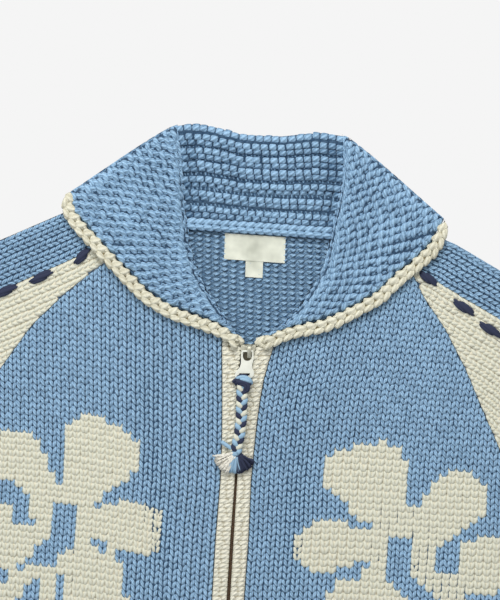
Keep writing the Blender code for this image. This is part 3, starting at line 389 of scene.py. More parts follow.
class Value:
    """A number that varies over a surface; arithmetic on it adds Math nodes."""

    def __init__(self, recipe: "Recipe", socket: bpy.types.NodeSocket) -> None:
        """Wrap an output."""
        self.recipe, self.socket = recipe, socket

    def math(self, operation: str, first: Input, second: Input = 0.0) -> "Value":
        """Result of one Math node on two numbers."""
        return self.recipe.add("ShaderNodeMath", {"operation": operation}, {0: first, 1: second}, "Value")

    __add__ = __radd__ = operator("ADD")
    __mul__ = __rmul__ = operator("MULTIPLY")
    __sub__, __rsub__ = operator("SUBTRACT"), operator("SUBTRACT", True)
    __truediv__, __pow__ = operator("DIVIDE"), operator("POWER")

    def sine(self) -> "Value":
        """Sine."""
        return self.math("SINE", self)

    def absolute(self) -> "Value":
        """Value without its sign."""
        return self.math("ABSOLUTE", self)

    def clamped(self) -> "Value":
        """Value kept from 0 to 1."""
        return self.math("MINIMUM", self.math("MAXIMUM", self, 0.0), 1.0)


class Recipe:
    """A material being mixed."""

    def __init__(self, name: str, roughness: float, metallic: float = 0.0, sheen: float = 0.0,
                 specular: float = 0.5) -> None:
        """Start from a principled shader.

        Args:
            name: of the material.
            roughness: of its surface.
            metallic: 1 for a metal.
            sheen: fuzz of loose fibres.
            specular: strength of its gloss.
        """
        self.material = bpy.data.materials.new(name)
        self.material.use_nodes = True
        self.tree = self.material.node_tree
        self.shader = self.tree.nodes["Principled BSDF"]
        for socket, value in (("Roughness", roughness), ("Metallic", metallic), ("Sheen Weight", sheen),
                              ("Sheen Roughness", 0.4), ("Specular IOR Level", specular)):
            self.shader.inputs[socket].default_value = value

    def add(self, kind: str, settings: Optional[Dict] = None, inputs: Optional[Dict] = None,
            output: Union[str, int] = 0) -> Value:
        """Add a node.

        Args:
            kind: its type.
            settings: attributes, set first.
            inputs: numbers, colours or links of its sockets, by name or place.
            output: the output that is wanted.
        Returns:
            That output.
        """
        node = self.tree.nodes.new(kind)
        for name, value in (settings or {}).items():
            setattr(node, name, value)
        for key, value in (inputs or {}).items():
            if isinstance(value, Value):
                self.tree.links.new(value.socket, node.inputs[key])
            else:
                node.inputs[key].default_value = value
        return Value(self, node.outputs[output])

    def place(self) -> Value:
        """Object coordinates."""
        return self.add("ShaderNodeTexCoord", output="Object")

    def lift(self, name: str) -> Value:
        """A number kept on the mesh."""
        return self.add("ShaderNodeAttribute", {"attribute_name": name}, output="Fac")

    def axes(self, vector: Value) -> List[Value]:
        """The three parts of a vector."""
        node = self.tree.nodes.new("ShaderNodeSeparateXYZ")
        self.tree.links.new(vector.socket, node.inputs[0])
        return [Value(self, output) for output in node.outputs]

    def noise(self, scale: float, detail: float = 2.0, vector: Optional[Value] = None) -> Value:
        """Noise from 0 to 1, so many cells to the metre, on the object's coordinates or others."""
        return self.add("ShaderNodeTexNoise", None,
                        {"Vector": vector or self.place(), "Scale": scale, "Detail": detail}, "Fac")

    def blend(self, share: Value, low: Input, high: Colour) -> Value:
        """Colour between two, the first of which may be a link."""
        first = low if isinstance(low, Value) else (*low, 1.0)
        return self.add("ShaderNodeMix", {"data_type": "RGBA"}, {0: share, 6: first, 7: (*high, 1.0)}, 2)

    def finish(self, colour: Value, height: Optional[Value] = None, depth: float = 0.0,
               roughness: Optional[Value] = None) -> bpy.types.Material:
        """Feed the shader.

        Args:
            colour: base colour.
            height: relief from 0 to 1.
            depth: its depth in millimetres.
            roughness: where it varies.
        Returns:
            The material.
        """
        self.tree.links.new(colour.socket, self.shader.inputs["Base Color"])
        if roughness is not None:
            self.tree.links.new(roughness.socket, self.shader.inputs["Roughness"])
        if height is not None:
            bump = self.add("ShaderNodeBump", None, {"Height": height, "Distance": depth * MM, "Strength": 1.0}, 0)
            self.tree.links.new(bump.socket, self.shader.inputs["Normal"])
        return self.material


@dataclass(frozen=True)
class Finish:
    """Name and two colours, for hollows and for crowns."""

    name: str
    deep: Colour
    pale: Colour


@dataclass(frozen=True)
class Wool(Finish):
    """Chunky spun wool: plies that wind round the yarn, heather and loose fibres."""

    plies: float = 4.0
    turns: float = 2.5
    sheen: float = 0.15
    fibre_scale: float = 1500.0
    heather_scale: float = 420.0
    relief: float = 0.8

    def make(self) -> bpy.types.Material:
        """Mix the material: tone lies on the mesh, 0 in the hollows and 1 on the crowns, and holds uneven dye besides
        painted shade and painted light.
        """
        recipe = Recipe(self.name, 0.85, sheen=self.sheen, specular=0.2)
        around = recipe.axes(recipe.add("ShaderNodeUVMap", {"uv_map": "UVMap"}))
        ply = (around[0] * (self.plies * math.tau) + around[1] * (self.turns * math.tau)).sine() * 0.5 + 0.5
        fibre = recipe.noise(self.fibre_scale, 3.0)
        heather = recipe.noise(self.heather_scale, 2.0)
        tone = recipe.lift("tone") + (ply - 0.5) * 0.42 + (fibre - 0.5) * 0.75 + (heather - 0.5) * 0.7
        return recipe.finish(recipe.blend(tone.clamped(), self.deep, self.pale), ply * 0.8 + fibre * 0.7, self.relief)


@dataclass(frozen=True)
class KnitGround(Finish):
    """The knitted ground under the raised yarn, and the faces that rest flat: rows of small V loops."""

    column: float = 8.4
    row: float = 6.0
    painted_shade_above: float = 6.2
    relief: float = 1.1

    def make(self) -> bpy.types.Material:
        """Mix the material: painted shade on the upper face between the raised stitches, pale on the flat underside.
        """
        recipe = Recipe(self.name, 0.9, sheen=0.1, specular=0.15)
        across, along, up = recipe.axes(recipe.place())
        wale = (across * (math.pi / (self.column * MM))).sine().absolute()
        course = ((along - wale * (0.45 * self.row * MM)) * (math.tau / (self.row * MM))).sine() * 0.5 + 0.5
        loop = wale ** 0.6 * (course * 0.7 + 0.3)
        # Painted shade: above this height the ground lies under the stitches and is coloured dark
        low = ((self.painted_shade_above * MM - up) * 400.0).clamped()
        tone = loop * (low * 0.75 + 0.12) + (recipe.noise(900.0) - 0.5) * 0.2
        return recipe.finish(recipe.blend(tone.clamped(), self.deep, self.pale), loop, self.relief)


@dataclass(frozen=True)
class Satin(Finish):
    """Woven satin ribbon."""

    weft: float = 0.45
    warp: float = 0.6

    def make(self) -> bpy.types.Material:
        """Mix the material: fine weft lines and a soft sheen."""
        recipe = Recipe(self.name, 0.42, sheen=0.2, specular=0.5)
        across, along, _ = recipe.axes(recipe.place())
        weave = (along * (math.tau / (self.weft * MM))).sine() * 0.5 + (
            across * (math.tau / (self.warp * MM))).sine() * 0.25 + 0.5
        tone = (recipe.noise(60.0, 2.0) - 0.5) * 2.2 + weave * 0.12 + 0.45
        return recipe.finish(recipe.blend(tone.clamped(), self.deep, self.pale), weave, 0.05)


@dataclass(frozen=True)
class Metal(Finish):
    """Cast zinc with a satin nickel plate, and painted shade in the hollow of a window.

    The hollow is its middle x and y, its half width and half length, and the height that it lies under.
    """

    roughness: float = 0.34
    hollow: Tuple[float, ...] = ()
    dark: Colour = (0.130, 0.115, 0.080)
    brushing: Tuple[float, float, float] = (9000.0, 700.0, 700.0)

    def make(self) -> bpy.types.Material:
        """Mix the material: fine brushing, small cloudy stains and worn spots, and painted shade in a window's hollow
        where one is given.
        """
        recipe = Recipe(self.name, self.roughness, metallic=1.0)
        place = recipe.place()
        cloud = recipe.noise(420.0, 3.0, place)
        brush = recipe.add("ShaderNodeMapping", None, {"Vector": place, "Scale": self.brushing})
        line = recipe.noise(1.0, 2.0, brush)
        colour = recipe.blend(cloud, self.deep, self.pale)
        if self.hollow:
            x, y, half_x, half_y, top = self.hollow
            centre = world(np.array(((x, y, top),)))[0]
            across, along, up = recipe.axes(place)
            aside = (across - centre[0]) / (half_x * MM)
            ahead = (along - centre[1]) / (half_y * MM)
            inside = ((1.0 - aside ** 2.0 - ahead ** 2.0) * 2.5).clamped()
            below = ((float(centre[2]) - up) * 3000.0).clamped()
            # Painted shade: the hollow under the window, below its height, turns dark
            colour = recipe.blend(inside * below, colour, self.dark)
        return recipe.finish(colour, line * 0.4 + cloud * 0.6, 0.03, cloud * 0.22 + (self.roughness - 0.1))


@dataclass(frozen=True)
class Enamel(Finish):
    """Ivory enamel over metal."""

    def make(self) -> bpy.types.Material:
        """Mix the material: faint clouds under a smooth coat."""
        recipe = Recipe(self.name, 0.3, specular=0.5)
        cloud = recipe.noise(300.0, 3.0)
        return recipe.finish(recipe.blend(cloud, self.deep, self.pale), cloud, 0.02)


@dataclass(frozen=True)
class Tape(Finish):
    """Herringbone zip tape."""

    twill: float = 1.1

    def make(self) -> bpy.types.Material:
        """Mix the material: a twill that turns at the middle."""
        recipe = Recipe(self.name, 0.8, specular=0.25)
        across, along, _ = recipe.axes(recipe.place())
        chevron = ((along + across.absolute() * 0.9) * (math.tau / (self.twill * MM))).sine() * 0.5 + 0.5
        tone = chevron * 0.6 + recipe.noise(800.0) * 0.4
        return recipe.finish(recipe.blend(tone, self.deep, self.pale), chevron, 0.2)


class Yarn(Enum):
    """The finishes of the cardigan."""

    BLUE = Wool("yarn_blue", (0.056, 0.128, 0.232), (0.375, 0.595, 0.825))
    CREAM = Wool("yarn_cream", (0.76, 0.73, 0.60), (1.0, 0.99, 0.88))
    EDGE = Wool("yarn_edging", (0.44, 0.40, 0.27), (0.84, 0.82, 0.67))
    SHADED = Wool("yarn_shaded", (0.58, 0.53, 0.40), (0.88, 0.84, 0.68))
    NAVY = Wool("yarn_navy", (0.002, 0.003, 0.012), (0.020, 0.026, 0.078))
    WHITE = Wool("yarn_white", (0.80, 0.76, 0.64), (1.0, 0.97, 0.88))
    SKY = Wool("yarn_sky", (0.120, 0.220, 0.36), (0.37, 0.58, 0.77))
    BROWN = Wool("coil_brown", (0.028, 0.018, 0.011), (0.17, 0.105, 0.062), 1.0, 0.0)
    GROUND = KnitGround("ground_blue", (0.026, 0.060, 0.115), (0.30, 0.47, 0.63))
    PALE_GROUND = KnitGround("ground_cream", (0.46, 0.42, 0.31), (0.74, 0.72, 0.60))
    HOLLOW = KnitGround("ground_edging", (0.24, 0.19, 0.10), (0.62, 0.58, 0.44))
    SATIN = Satin("label_satin", (0.50, 0.52, 0.43), (0.80, 0.82, 0.70))
    RIB = Wool("yarn_rib", (0.62, 0.60, 0.48), (0.87, 0.85, 0.72))
    NICKEL = Metal("nickel", (0.30, 0.29, 0.22), (0.62, 0.61, 0.52))
    # The cast slider's dark hollow under the tab's window is painted shade
    CAST = Metal("cast_nickel", (0.38, 0.37, 0.28), (0.74, 0.73, 0.62), 0.48, (4.0, -11.2, 5.0, 5.2, 11.7))
    ENAMEL = Enamel("enamel", (0.74, 0.75, 0.66), (0.84, 0.85, 0.77))
    TAPE = Tape("zip_tape", (0.022, 0.014, 0.009), (0.10, 0.062, 0.038))

    @property
    def material(self) -> bpy.types.Material:
        """The material, mixed once."""
        return bpy.data.materials.get(self.value.name) or self.value.make()


# ---------------------------------------------------------------- making pieces

def settle(piece: Piece, replaces: Sequence[str] = (), body: str = "garment") -> Piece:
    """Args:
        piece: the finished piece.
        replaces: CAD nodes that it stands for.
        body: what it moves with.
    Returns:
        The piece.
    """
    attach(piece, body)
    if replaces:
        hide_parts(*replaces)
    points = np.zeros(len(piece.data.vertices) * 3)
    piece.data.vertices.foreach_get("co", points)
    points[2::3] = np.maximum(points[2::3], 0.0)
    piece.data.vertices.foreach_set("co", points)
    piece.data.calc_loop_triangles()
    LOG.info("%s: %d triangles, up to %.1f mm high", piece.name, len(piece.data.loop_triangles),
             points[2::3].max() / MM)
    return piece


def link(name: str, mesh: bpy.types.Mesh, finish: Optional[Yarn] = None) -> Piece:
    """An object in the scene.

    Args:
        name: of the piece.
        mesh: its mesh, in metres in the frame.
        finish: of the piece, or none where the mesh has its own.
    Returns:
        The object.
    """
    if finish:
        mesh.materials.clear()
        mesh.materials.append(finish.material)
    mesh.name = name
    piece = bpy.data.objects.new(name, mesh)
    bpy.context.scene.collection.objects.link(piece)
    return piece


def as_mesh(body: bmesh.types.BMesh, name: str, crease: Optional[float] = None) -> bpy.types.Mesh:
    """A shape as a mesh, shaded smooth; the shape is freed.

    Args:
        body: the shape.
        name: of the mesh.
        crease: angle past which an edge stays sharp, where any does.
    Returns:
        The mesh.
    """
    mesh = bpy.data.meshes.new(name)
    body.to_mesh(mesh)
    body.free()
    mesh.shade_smooth()
    if crease is not None:
        mesh.set_sharp_from_angle(angle=math.radians(crease))
    return mesh


def baked(data: bpy.types.ID, copies: int = 1) -> bpy.types.Mesh:
    """Mesh of a curve's tubes, or of many copies of a mesh.

    Args:
        data: the curve or the mesh.
        copies: how many.
    Returns:
        The mesh.
    """
    seed = bpy.data.objects.new(data.name + "_seed", data)
    bpy.context.scene.collection.objects.link(seed)
    if copies > 1:
        repeat = seed.modifiers.new("copies", "ARRAY")
        repeat.count = copies
        repeat.use_relative_offset = False
    mesh = bpy.data.meshes.new_from_object(seed.evaluated_get(bpy.context.evaluated_depsgraph_get()))
    bpy.data.objects.remove(seed)
    return mesh


def keep_tone(mesh: bpy.types.Mesh, values: Array) -> None:
    """Keep a tone for every point of a mesh, 0 dark to 1 pale."""
    mesh.attributes.new("tone", "FLOAT", "POINT").data.foreach_set("value", values.astype(np.float32))


def random_tone(count: int, middle: float = 0.62, spread: float = 0.10) -> Array:
    """Uneven dye, the same on each run."""
    return middle + np.random.default_rng(SEED + count).uniform(-spread, spread, count)


@dataclass
class Lumps:
    """Many copies of one short soft length of yarn, each laid in its own place."""

    name: str
    sides: int = 5
    rings: int = 4
    blunt: float = 0.3
    square: float = 1.0
    rows: List[Array] = field(default_factory=list)

    def lay(self, centre: Array, along: Array, normal: Array, width: Input, height: Input, drop: Input = 0.5,
            bend: Input = 0.0, tilt: Input = 0.0, tone: Input = 0.6) -> None:
        """Lay lengths of yarn.

        Args:
            centre: middles (n, 3).
            along: half lengths (n, 3).
            normal: unit directions away from the cloth (n, 3).
            width: half widths.
            height: half thicknesses.
            drop: how far both ends dip.
            bend: how far both ends bend to the side.
            tilt: how far the leading end dips below the other.
            tone: 0 dark to 1 pale.
        """
        if len(centre):
            numbers = [np.broadcast_to(np.asarray(item, float), (len(centre),))
                       for item in (width, height, drop, bend, tilt, tone)]
            self.rows.append(np.column_stack((centre, along, normal, *numbers)))

    def build(self, finish: Yarn, outline: Optional[Outline] = None, margin: float = 0.15) -> Piece:
        """Copy the unit and put every copy in its place.

        Args:
            finish: of the yarn.
            outline: seam that the yarn stays inside.
            margin: distance kept from it.
        Returns:
            The piece.
        """
        rows = np.concatenate(self.rows)
        shape = bmesh.new()
        shape.loops.layers.uv.new("UVMap")
        bmesh.ops.create_uvsphere(shape, u_segments=self.sides, v_segments=self.rings, radius=1.0,
                                  matrix=Matrix.Rotation(math.radians(-90.0), 4, "X"), calc_uvs=True)
        lump = as_mesh(shape, self.name)
        local = np.zeros(len(lump.vertices) * 3)
        lump.vertices.foreach_get("co", local)
        mesh = baked(lump, len(rows))
        x, y, z = (np.sign(local) * np.abs(local) ** self.square).reshape(-1, 3).T
        fuller = np.maximum(np.hypot(x, z), 1e-6) ** -self.blunt
        x, y, z = (item[None, :, None] for item in (x * fuller, y, z * fuller))
        centre, along, normal = (rows[:, None, first:first + 3] for first in (0, 3, 6))
        width, height, drop, bend, tilt, tone = (rows[:, None, index, None] for index in range(9, 15))
        across = unit(np.cross(along, normal))
        points = (centre + along * y + across * (width * x + bend * y * y)
                  + normal * (height * z - drop * y * y - tilt * y)).reshape(-1, 3)
        if outline is not None:
            points = outline.tuck(points, margin)
        mesh.vertices.foreach_set("co", world(points).ravel())
        # Tone per point: the lump's own tone, with painted light on its crown and painted shade at its ends and
        # flanks
        keep_tone(mesh, (tone + PAINTED_CROWN_LIGHT * z - PAINTED_END_SHADE * np.abs(y) ** 3 - PAINTED_FLANK_SHADE * np.abs(x) ** 2).ravel())
        mesh.update()
        return link(self.name, mesh, finish)


@dataclass
class Stitches:
    """Knit stitches: middles on the crown, one stitch up the column, one along the row, the way out, and tones."""

    place: Array
    wale: Array
    course: Array
    normal: Array
    tone: Array

    def only(self, chosen: Array) -> "Stitches":
        """The chosen ones."""
        return Stitches(*(item[chosen] for item in (self.place, self.wale, self.course, self.normal, self.tone)))

    def lay(self, lumps: Lumps, width: float = 2.25, height: float = 1.8, tilt: float = 0.5) -> None:
        """Lay each as a V of two legs that rises from under the V below.

        Args:
            lumps: where they go.
            width: half width of a leg.
            height: half thickness of a leg.
            tilt: dip of the leg's upper end.
        """
        for side in (-1.0, 1.0):
            low = self.place - self.wale * LEG_FOOT[0] + self.course * (LEG_FOOT[1] * side)
            high = self.place + self.wale * LEG_HEAD[0] + self.course * (LEG_HEAD[1] * side)
            lumps.lay((low + high) / 2 - self.normal * height, (high - low) / 2, self.normal, width, height, 0.5,
                      -0.3 * side, tilt, self.tone + 0.03 * side)

    def floats(self, name: str, outline: Outline) -> Piece:
        """Cream yarn behind cream stitches, so that no blue shows between their legs.

        Args:
            name: of the piece.
            outline: seam that it stays inside.
        Returns:
            The piece.
        """
        # Painted shade: the floats take the shaded cream finish and a low tone
        lumps = Lumps(name, 8, 6, 0.3, 0.6)
        lumps.lay(self.place - self.normal * 2.2 + self.wale * 0.3, self.wale * 0.74, self.normal,
                  np.linalg.norm(self.course, axis=1) * 0.6, 1.0, 0.0, tone=0.40)
        return settle(lumps.build(Yarn.SHADED, outline))

    def knit(self, panel: str, cream: Array, outline: Outline) -> List[Piece]:
        """Knit a panel in blue and cream.

        Args:
            panel: its node.
            cream: True for the cream stitches.
            outline: seam that they stay inside.
        Returns:
            The pieces.
        """
        pieces = []
        for shade, chosen, finish in (("blue", ~cream, Yarn.BLUE), ("cream", cream, Yarn.CREAM)):
            lumps = Lumps(f"stitches_{panel}_{shade}")
            self.only(chosen).lay(lumps)
            pieces.append(settle(lumps.build(finish, outline)))
        return [*pieces, self.only(cream).floats("floats_" + panel, outline)]


def shell(name: str, node: str, finish: Yarn, shape: Optional[Callable[[Array], Array]] = None,
          crease: float = 40.0, inset: float = 0.0) -> Piece:
    """The cloth's ground: a solid's own form, a little lower where yarn is laid on it.

    Args:
        name: of the piece.
        node: the CAD node that it stands for.
        finish: of the ground.
        shape: moves its points, in garment millimetres.
        crease: angle past which an edge stays sharp.
        inset: how far its rim goes in, so that the yarn stands over it.
    Returns:
        The piece.
    """
    body = merged(node)
    if inset:
        body.normal_update()
        for vert in body.verts:
            vert.co -= Vector((vert.normal.x, vert.normal.y, 0.0)) * (inset * MM)
    if shape:
        points = np.array([vert.co for vert in body.verts]) / MM - OFFSET
        for vert, point in zip(body.verts, world(shape(points))):
            vert.co = point
    return settle(link(name, as_mesh(body, name, crease), finish), [node])


def merged(node: str) -> bmesh.types.BMesh:
    """A copy of a solid's form, with its doubles merged.

    Args:
        node: the CAD node.
    Returns:
        The form.
    """
    body = bmesh.new()
    body.from_mesh(frame["nodes"][node].data)
    bmesh.ops.remove_doubles(body, verts=body.verts, dist=0.00002)
    return body


def rounded(name: str, node: str, width: float, finish: Yarn, body: str = "garment") -> Piece:
    """A metal part with its edges broken.

    Args:
        name: of the piece.
        node: the CAD node that it stands for.
        width: of the rounding.
        finish: of the metal.
        body: what it moves with.
    Returns:
        The piece.
    """
    part = merged(node)
    bmesh.ops.dissolve_limit(part, angle_limit=math.radians(3.0), verts=part.verts, edges=part.edges)
    sharp = [edge for edge in part.edges if edge.is_manifold and edge.calc_face_angle(0.0) > math.radians(35.0)]
    bmesh.ops.bevel(part, geom=sharp, offset=width * MM, segments=2, profile=0.5, affect="EDGES", material=-1,
                    clamp_overlap=True)
    bmesh.ops.triangulate(part, faces=part.faces)
    return settle(link(name, as_mesh(part, name, 50.0), finish), [node], body)


def strands(name: str, paths: Sequence[Tuple[Array, Yarn]], radius: float, taper: float = 1.0) -> Piece:
    """Round strands swept along their paths, as one mesh.

    Args:
        name: of the piece.
        paths: points (m, 3) and finish of each strand.
        radius: of a strand.
        taper: radius at the far end, as a share.
    Returns:
        The piece.
    """
    curve = bpy.data.curves.new(name, "CURVE")
    curve.dimensions = "3D"
    curve.bevel_depth = radius * MM
    curve.bevel_resolution = 2
    curve.use_fill_caps = True
    finishes: List[Yarn] = []
    for points, finish in paths:
        if finish not in finishes:
            finishes.append(finish)
            curve.materials.append(finish.material)
        line = curve.splines.new("POLY")
        line.points.add(len(points) - 1)
        line.points.foreach_set("co", np.column_stack((world(points), np.ones(len(points)))).ravel())
        line.points.foreach_set("radius", np.linspace(1.0, taper, len(points)))
        line.material_index = finishes.index(finish)
        line.use_smooth = True
    mesh = baked(curve)
    closed = bmesh.new()
    closed.from_mesh(mesh)
    bmesh.ops.remove_doubles(closed, verts=closed.verts, dist=0.000005)
    bmesh.ops.recalc_face_normals(closed, faces=closed.faces)
    closed.to_mesh(mesh)
    closed.free()
    keep_tone(mesh, np.full(len(mesh.vertices), 0.62))
    mesh.shade_smooth()
    return link(name, mesh)


def lowered(by: float, above: float) -> Callable[[Array], Array]:
    """A shaping that lowers what lies above a height and follows the creases.

    Args:
        by: how far.
        above: the height from which points go down.
    Returns:
        The shaping.
    """
    def shape(points: Array) -> Array:
        """Lower the upper face."""
        top = points[:, 2] > above
        points[top, 2] += crease_height(points[top, :2]) - by
        return points
    return shape


def flattened(share: float, base: float) -> Callable[[Array], Array]:
    """A shaping that brings the upper face down toward the base.

    Args:
        share: part of the height that goes.
        base: height of the underside.
    Returns:
        The shaping.
    """
    def shape(points: Array) -> Array:
        """Flatten what lies above the base."""
        points[:, 2] = np.where(points[:, 2] > base, base + (points[:, 2] - base) * (1.0 - share), points[:, 2])
        return points
    return shape


class Half:
    """Lines that the pieces of the left or right half share."""

    def __init__(self, name: str) -> None:
        """Take its tables."""
        self.name = name
        self.sign = -1.0 if name == "left" else 1.0
        table = np.array(COLLAR[name], float)
        self.rolls, self.edges = table[:, :2], table[:, 2:]
        raglan = np.array(RAGLAN[name], float)
        self.seams, self.folds = raglan[:, :2], raglan[:, 2:]
        self.above = np.array((0.45 * -self.sign, 0.89))

    def roll(self, row: Union[float, Array]) -> Array:
        """Roll line of the collar."""
        return along_curve(self.rolls, row)

    def edge(self, row: Union[float, Array]) -> Array:
        """Outer edge of the fall."""
        return along_curve(self.edges, row)

    def outward(self, row: Union[float, Array]) -> Array:
        """Direction across the fall, from its roll to its edge."""
        return unit(self.edge(row) - self.roll(row))

    def width(self, row: float) -> float:
        """Width of the fall."""
        return float(np.linalg.norm(self.edge(row) - self.roll(row)))

    def lip_width(self, row: float) -> float:
        """Width of the collar's turned lip."""
        return min(LIP, LIP_SHARE * self.width(row))

    def lip(self, row: float, extra: float = 0.0) -> Array:
        """Outer side of the lip.

        Args:
            row: collar row.
            extra: distance past it.
        Returns:
            The point.
        """
        if NECK_ROW < row < SHOULDER_ROW:
            share = (row - NECK_ROW) / (SHOULDER_ROW - NECK_ROW)
            return self.lip(NECK_ROW, extra) * (1 - share) + self.lip(SHOULDER_ROW, extra) * share
        return self.roll(row) + self.outward(row) * (self.lip_width(row) + extra)

    def fall_plan(self, row: float, depth: float) -> Array:
        """Plan of the fall at a depth from the roll line.

        Args:
            row: collar row.
            depth: distance from the roll.
        Returns:
            The point.
        """
        width, lip = self.width(row), self.lip_width(row)
        if depth <= lip:
            place = self.roll(row) + (self.lip(row) - self.roll(row)) * depth / lip
        else:
            place = self.lip(row) + (self.edge(row) - self.lip(row)) * (depth - lip) / (width - lip)
        swell = TOP_SWELL * max(0.0, row - SHOULDER_ROW) * math.sin(math.pi * math.sqrt(depth / width))
        return place + turned(self.outward(row)) * swell * self.sign

    def edging_line(self, share: float, start: float = 0.0, end: float = float(SHOULDER_ROW)) -> Array:
        """A line along the edging, from the zip to the shoulder.

        Args:
            share: 0 at the fall and 1 at the outer side.
            start: first collar row.
            end: last collar row.
        Returns:
            Its points (m, 2).
        """
        rows = np.arange(start, end + 0.01, 0.25)
        along = unit(self.edge(np.minimum(rows + 0.5, SHOULDER_ROW)) - self.edge(np.maximum(rows - 0.5, 0.0)))
        outward = turned(along) * -self.sign
        width = EDGING_WIDTH - 3.0 * (1.0 - smooth(rows)) - 2.0 * smooth((rows - SHOULDER_ROW + 1.5) / 1.5)
        return self.edge(rows) + outward * (EDGING_GAP + width * share)[:, None]

    def cover(self) -> Outline:
        """Outline of the fall and its edging, which hide what lies under them.

        Returns:
            The outline.
        """
        rolls = self.roll(np.arange(0.0, TOP_ROW + 0.1, 0.5))
        tip = np.array(EDGING_TIP[self.name])
        return Outline(np.concatenate((rolls, self.edge(np.array((TOP_ROW,))), tip[::-1],
                                       self.edging_line(1.0)[::-1][1:])))

    def band_x(self, y: Array, outer: bool = True) -> Array:
        """X of the zip band at heights, at its outer edge or at the zip."""
        column = (1 if outer else 2) if self.name == "left" else (4 if outer else 3)
        return np.interp(-np.asarray(y, float), -BANDS[:, 0], BANDS[:, column])

    def body_edge(self, entry: Tuple[float, float]) -> Array:
        """Side of the body, for a height on the zip line and a half width."""
        square = unit(np.array((self.sign, -self.sign * LEAN)))
        return np.array((entry[0] * LEAN, entry[0])) + square * entry[1]

    def front_outline(self) -> Outline:
        """Outline of the front panel.

        Returns:
            The outline.
        """
        inner = [self.lip(0.5 * step, 0.4) for step in range(2, 2 * NECK_ROW)]
        band = np.column_stack((self.band_x(BANDS[:11, 0]) + self.sign * 0.3, BANDS[:11, 0]))
        sides = np.array([self.body_edge(entry) for entry in SIDES])
        return Outline(np.concatenate((band[::-1], inner, self.seams, sides)))

    def sleeve_lines(self) -> Tuple[Array, Array]:
        """Seam and fold of the whole sleeve.

        Returns:
            Their points at every half row, (m, 2) each.
        """
        seams, folds = [self.lip(NECK_ROW, 0.3), *self.seams], [self.lip(SHOULDER_ROW, 0.3), *self.folds]
        centre = (seams[-1] + folds[-1]) / 2
        for step, bearing, half_width in SLEEVE[self.name]:
            along, across = self.down_sleeve(bearing)
            centre = centre + along * step
            seams.append(centre - across * half_width)
            folds.append(centre + across * half_width)
        rows = np.arange(0.0, len(seams) - 0.9, 0.5)
        seam = along_curve(seams, rows)
        upper = rows < len(self.seams)
        low = rows[upper].astype(int)
        share = (rows[upper] - low)[:, None]
        seam[upper] = np.array(seams)[low] * (1 - share) + np.array(seams)[low + 1] * share
        return seam, along_curve(folds, rows)

    def down_sleeve(self, bearing: float) -> Tuple[Array, Array]:
        """Directions of a stretch of the sleeve.

        Args:
            bearing: degrees below the horizontal.
        Returns:
            Down the sleeve, and across it to the fold.
        """
        angle = math.radians(bearing)
        along = np.array((self.sign * math.cos(angle), -math.sin(angle)))
        return along, turned(along) * self.sign


# ---------------------------------------------------------------- sub-assemblies

@dataclass
class Studio:
    """Plain pale floor, soft light from the collar's side, and the camera straight above."""

    centre: Tuple[float, float, float] = (7.0, 45.0, 8.0)
    height: float = 600.0
    lens: float = 180.0
    sensor: float = 36.0
    floor: float = 0.913
    floor_half: float = 6.0
    floor_level: float = -0.0006
    key: float = 43.0
    side_share: float = 0.28
    fill: float = 0.49
    air: Colour = (0.97, 0.985, 1.0)
    aim: Tuple[float, float, float] = (0.05, 0.15, 0.0)

    def build(self) -> None:
        """Make floor, lights and camera."""
        scene = bpy.context.scene
        scene.view_settings.view_transform = "Standard"
        ground = bmesh.new()
        bmesh.ops.create_grid(ground, x_segments=2, y_segments=2, size=self.floor_half)
        bmesh.ops.translate(ground, verts=ground.verts, vec=(0.0, 0.0, self.floor_level))
        paper = bpy.data.materials.new("pale_paper")
        paper.use_nodes = True
        shader = paper.node_tree.nodes["Principled BSDF"]
        for name, value in (("Base Color", (0.0, 0.0, 0.0, 1.0)), ("Specular IOR Level", 0.0),
                            ("Emission Color", (1.0, 1.0, 1.0, 1.0)), ("Emission Strength", self.floor)):
            shader.inputs[name].default_value = value
        floor = link("floor", as_mesh(ground, "floor"))
        floor.data.materials.append(paper)
        place = world(np.array((self.centre,)))[0]
        camera = bpy.data.cameras.new("camera")
        camera.lens, camera.sensor_width = self.lens, self.sensor
        view = bpy.data.objects.new("camera", camera)
        view.location = (place[0], place[1], place[2] + self.height * MM * self.lens / self.sensor)
        scene.collection.objects.link(view)
        scene.camera = view
        self.light("key", (0.1, 1.9, 1.7), 1.1, self.key, (1.0, 0.985, 0.96))
        self.light("side", (-1.8, 0.5, 1.6), 1.4, self.key * self.side_share, (1.0, 1.0, 1.0))
        air = bpy.data.worlds.new("studio")
        air.use_nodes = True
        air.node_tree.nodes["Background"].inputs["Color"].default_value = (*self.air, 1.0)
        air.node_tree.nodes["Background"].inputs["Strength"].default_value = self.fill
        scene.world = air

    def light(self, name: str, place: Tuple[float, float, float], size: float, power: float, colour: Colour) -> None:
        """Hang a square soft light that faces the garment.

        Args:
            name: of the light.
            place: in metres.
            size: side in metres.
            power: watts.
            colour: of its light.
        """
        lamp = bpy.data.lights.new(name, "AREA")
        lamp.shape, lamp.size, lamp.energy, lamp.color = "SQUARE", size, power, colour
        hung = bpy.data.objects.new(name, lamp)
        hung.location = place
        hung.rotation_mode = "QUATERNION"
        hung.rotation_quaternion = (Vector(self.aim) - Vector(place)).to_track_quat("-Z", "Y")
        bpy.context.scene.collection.objects.link(hung)


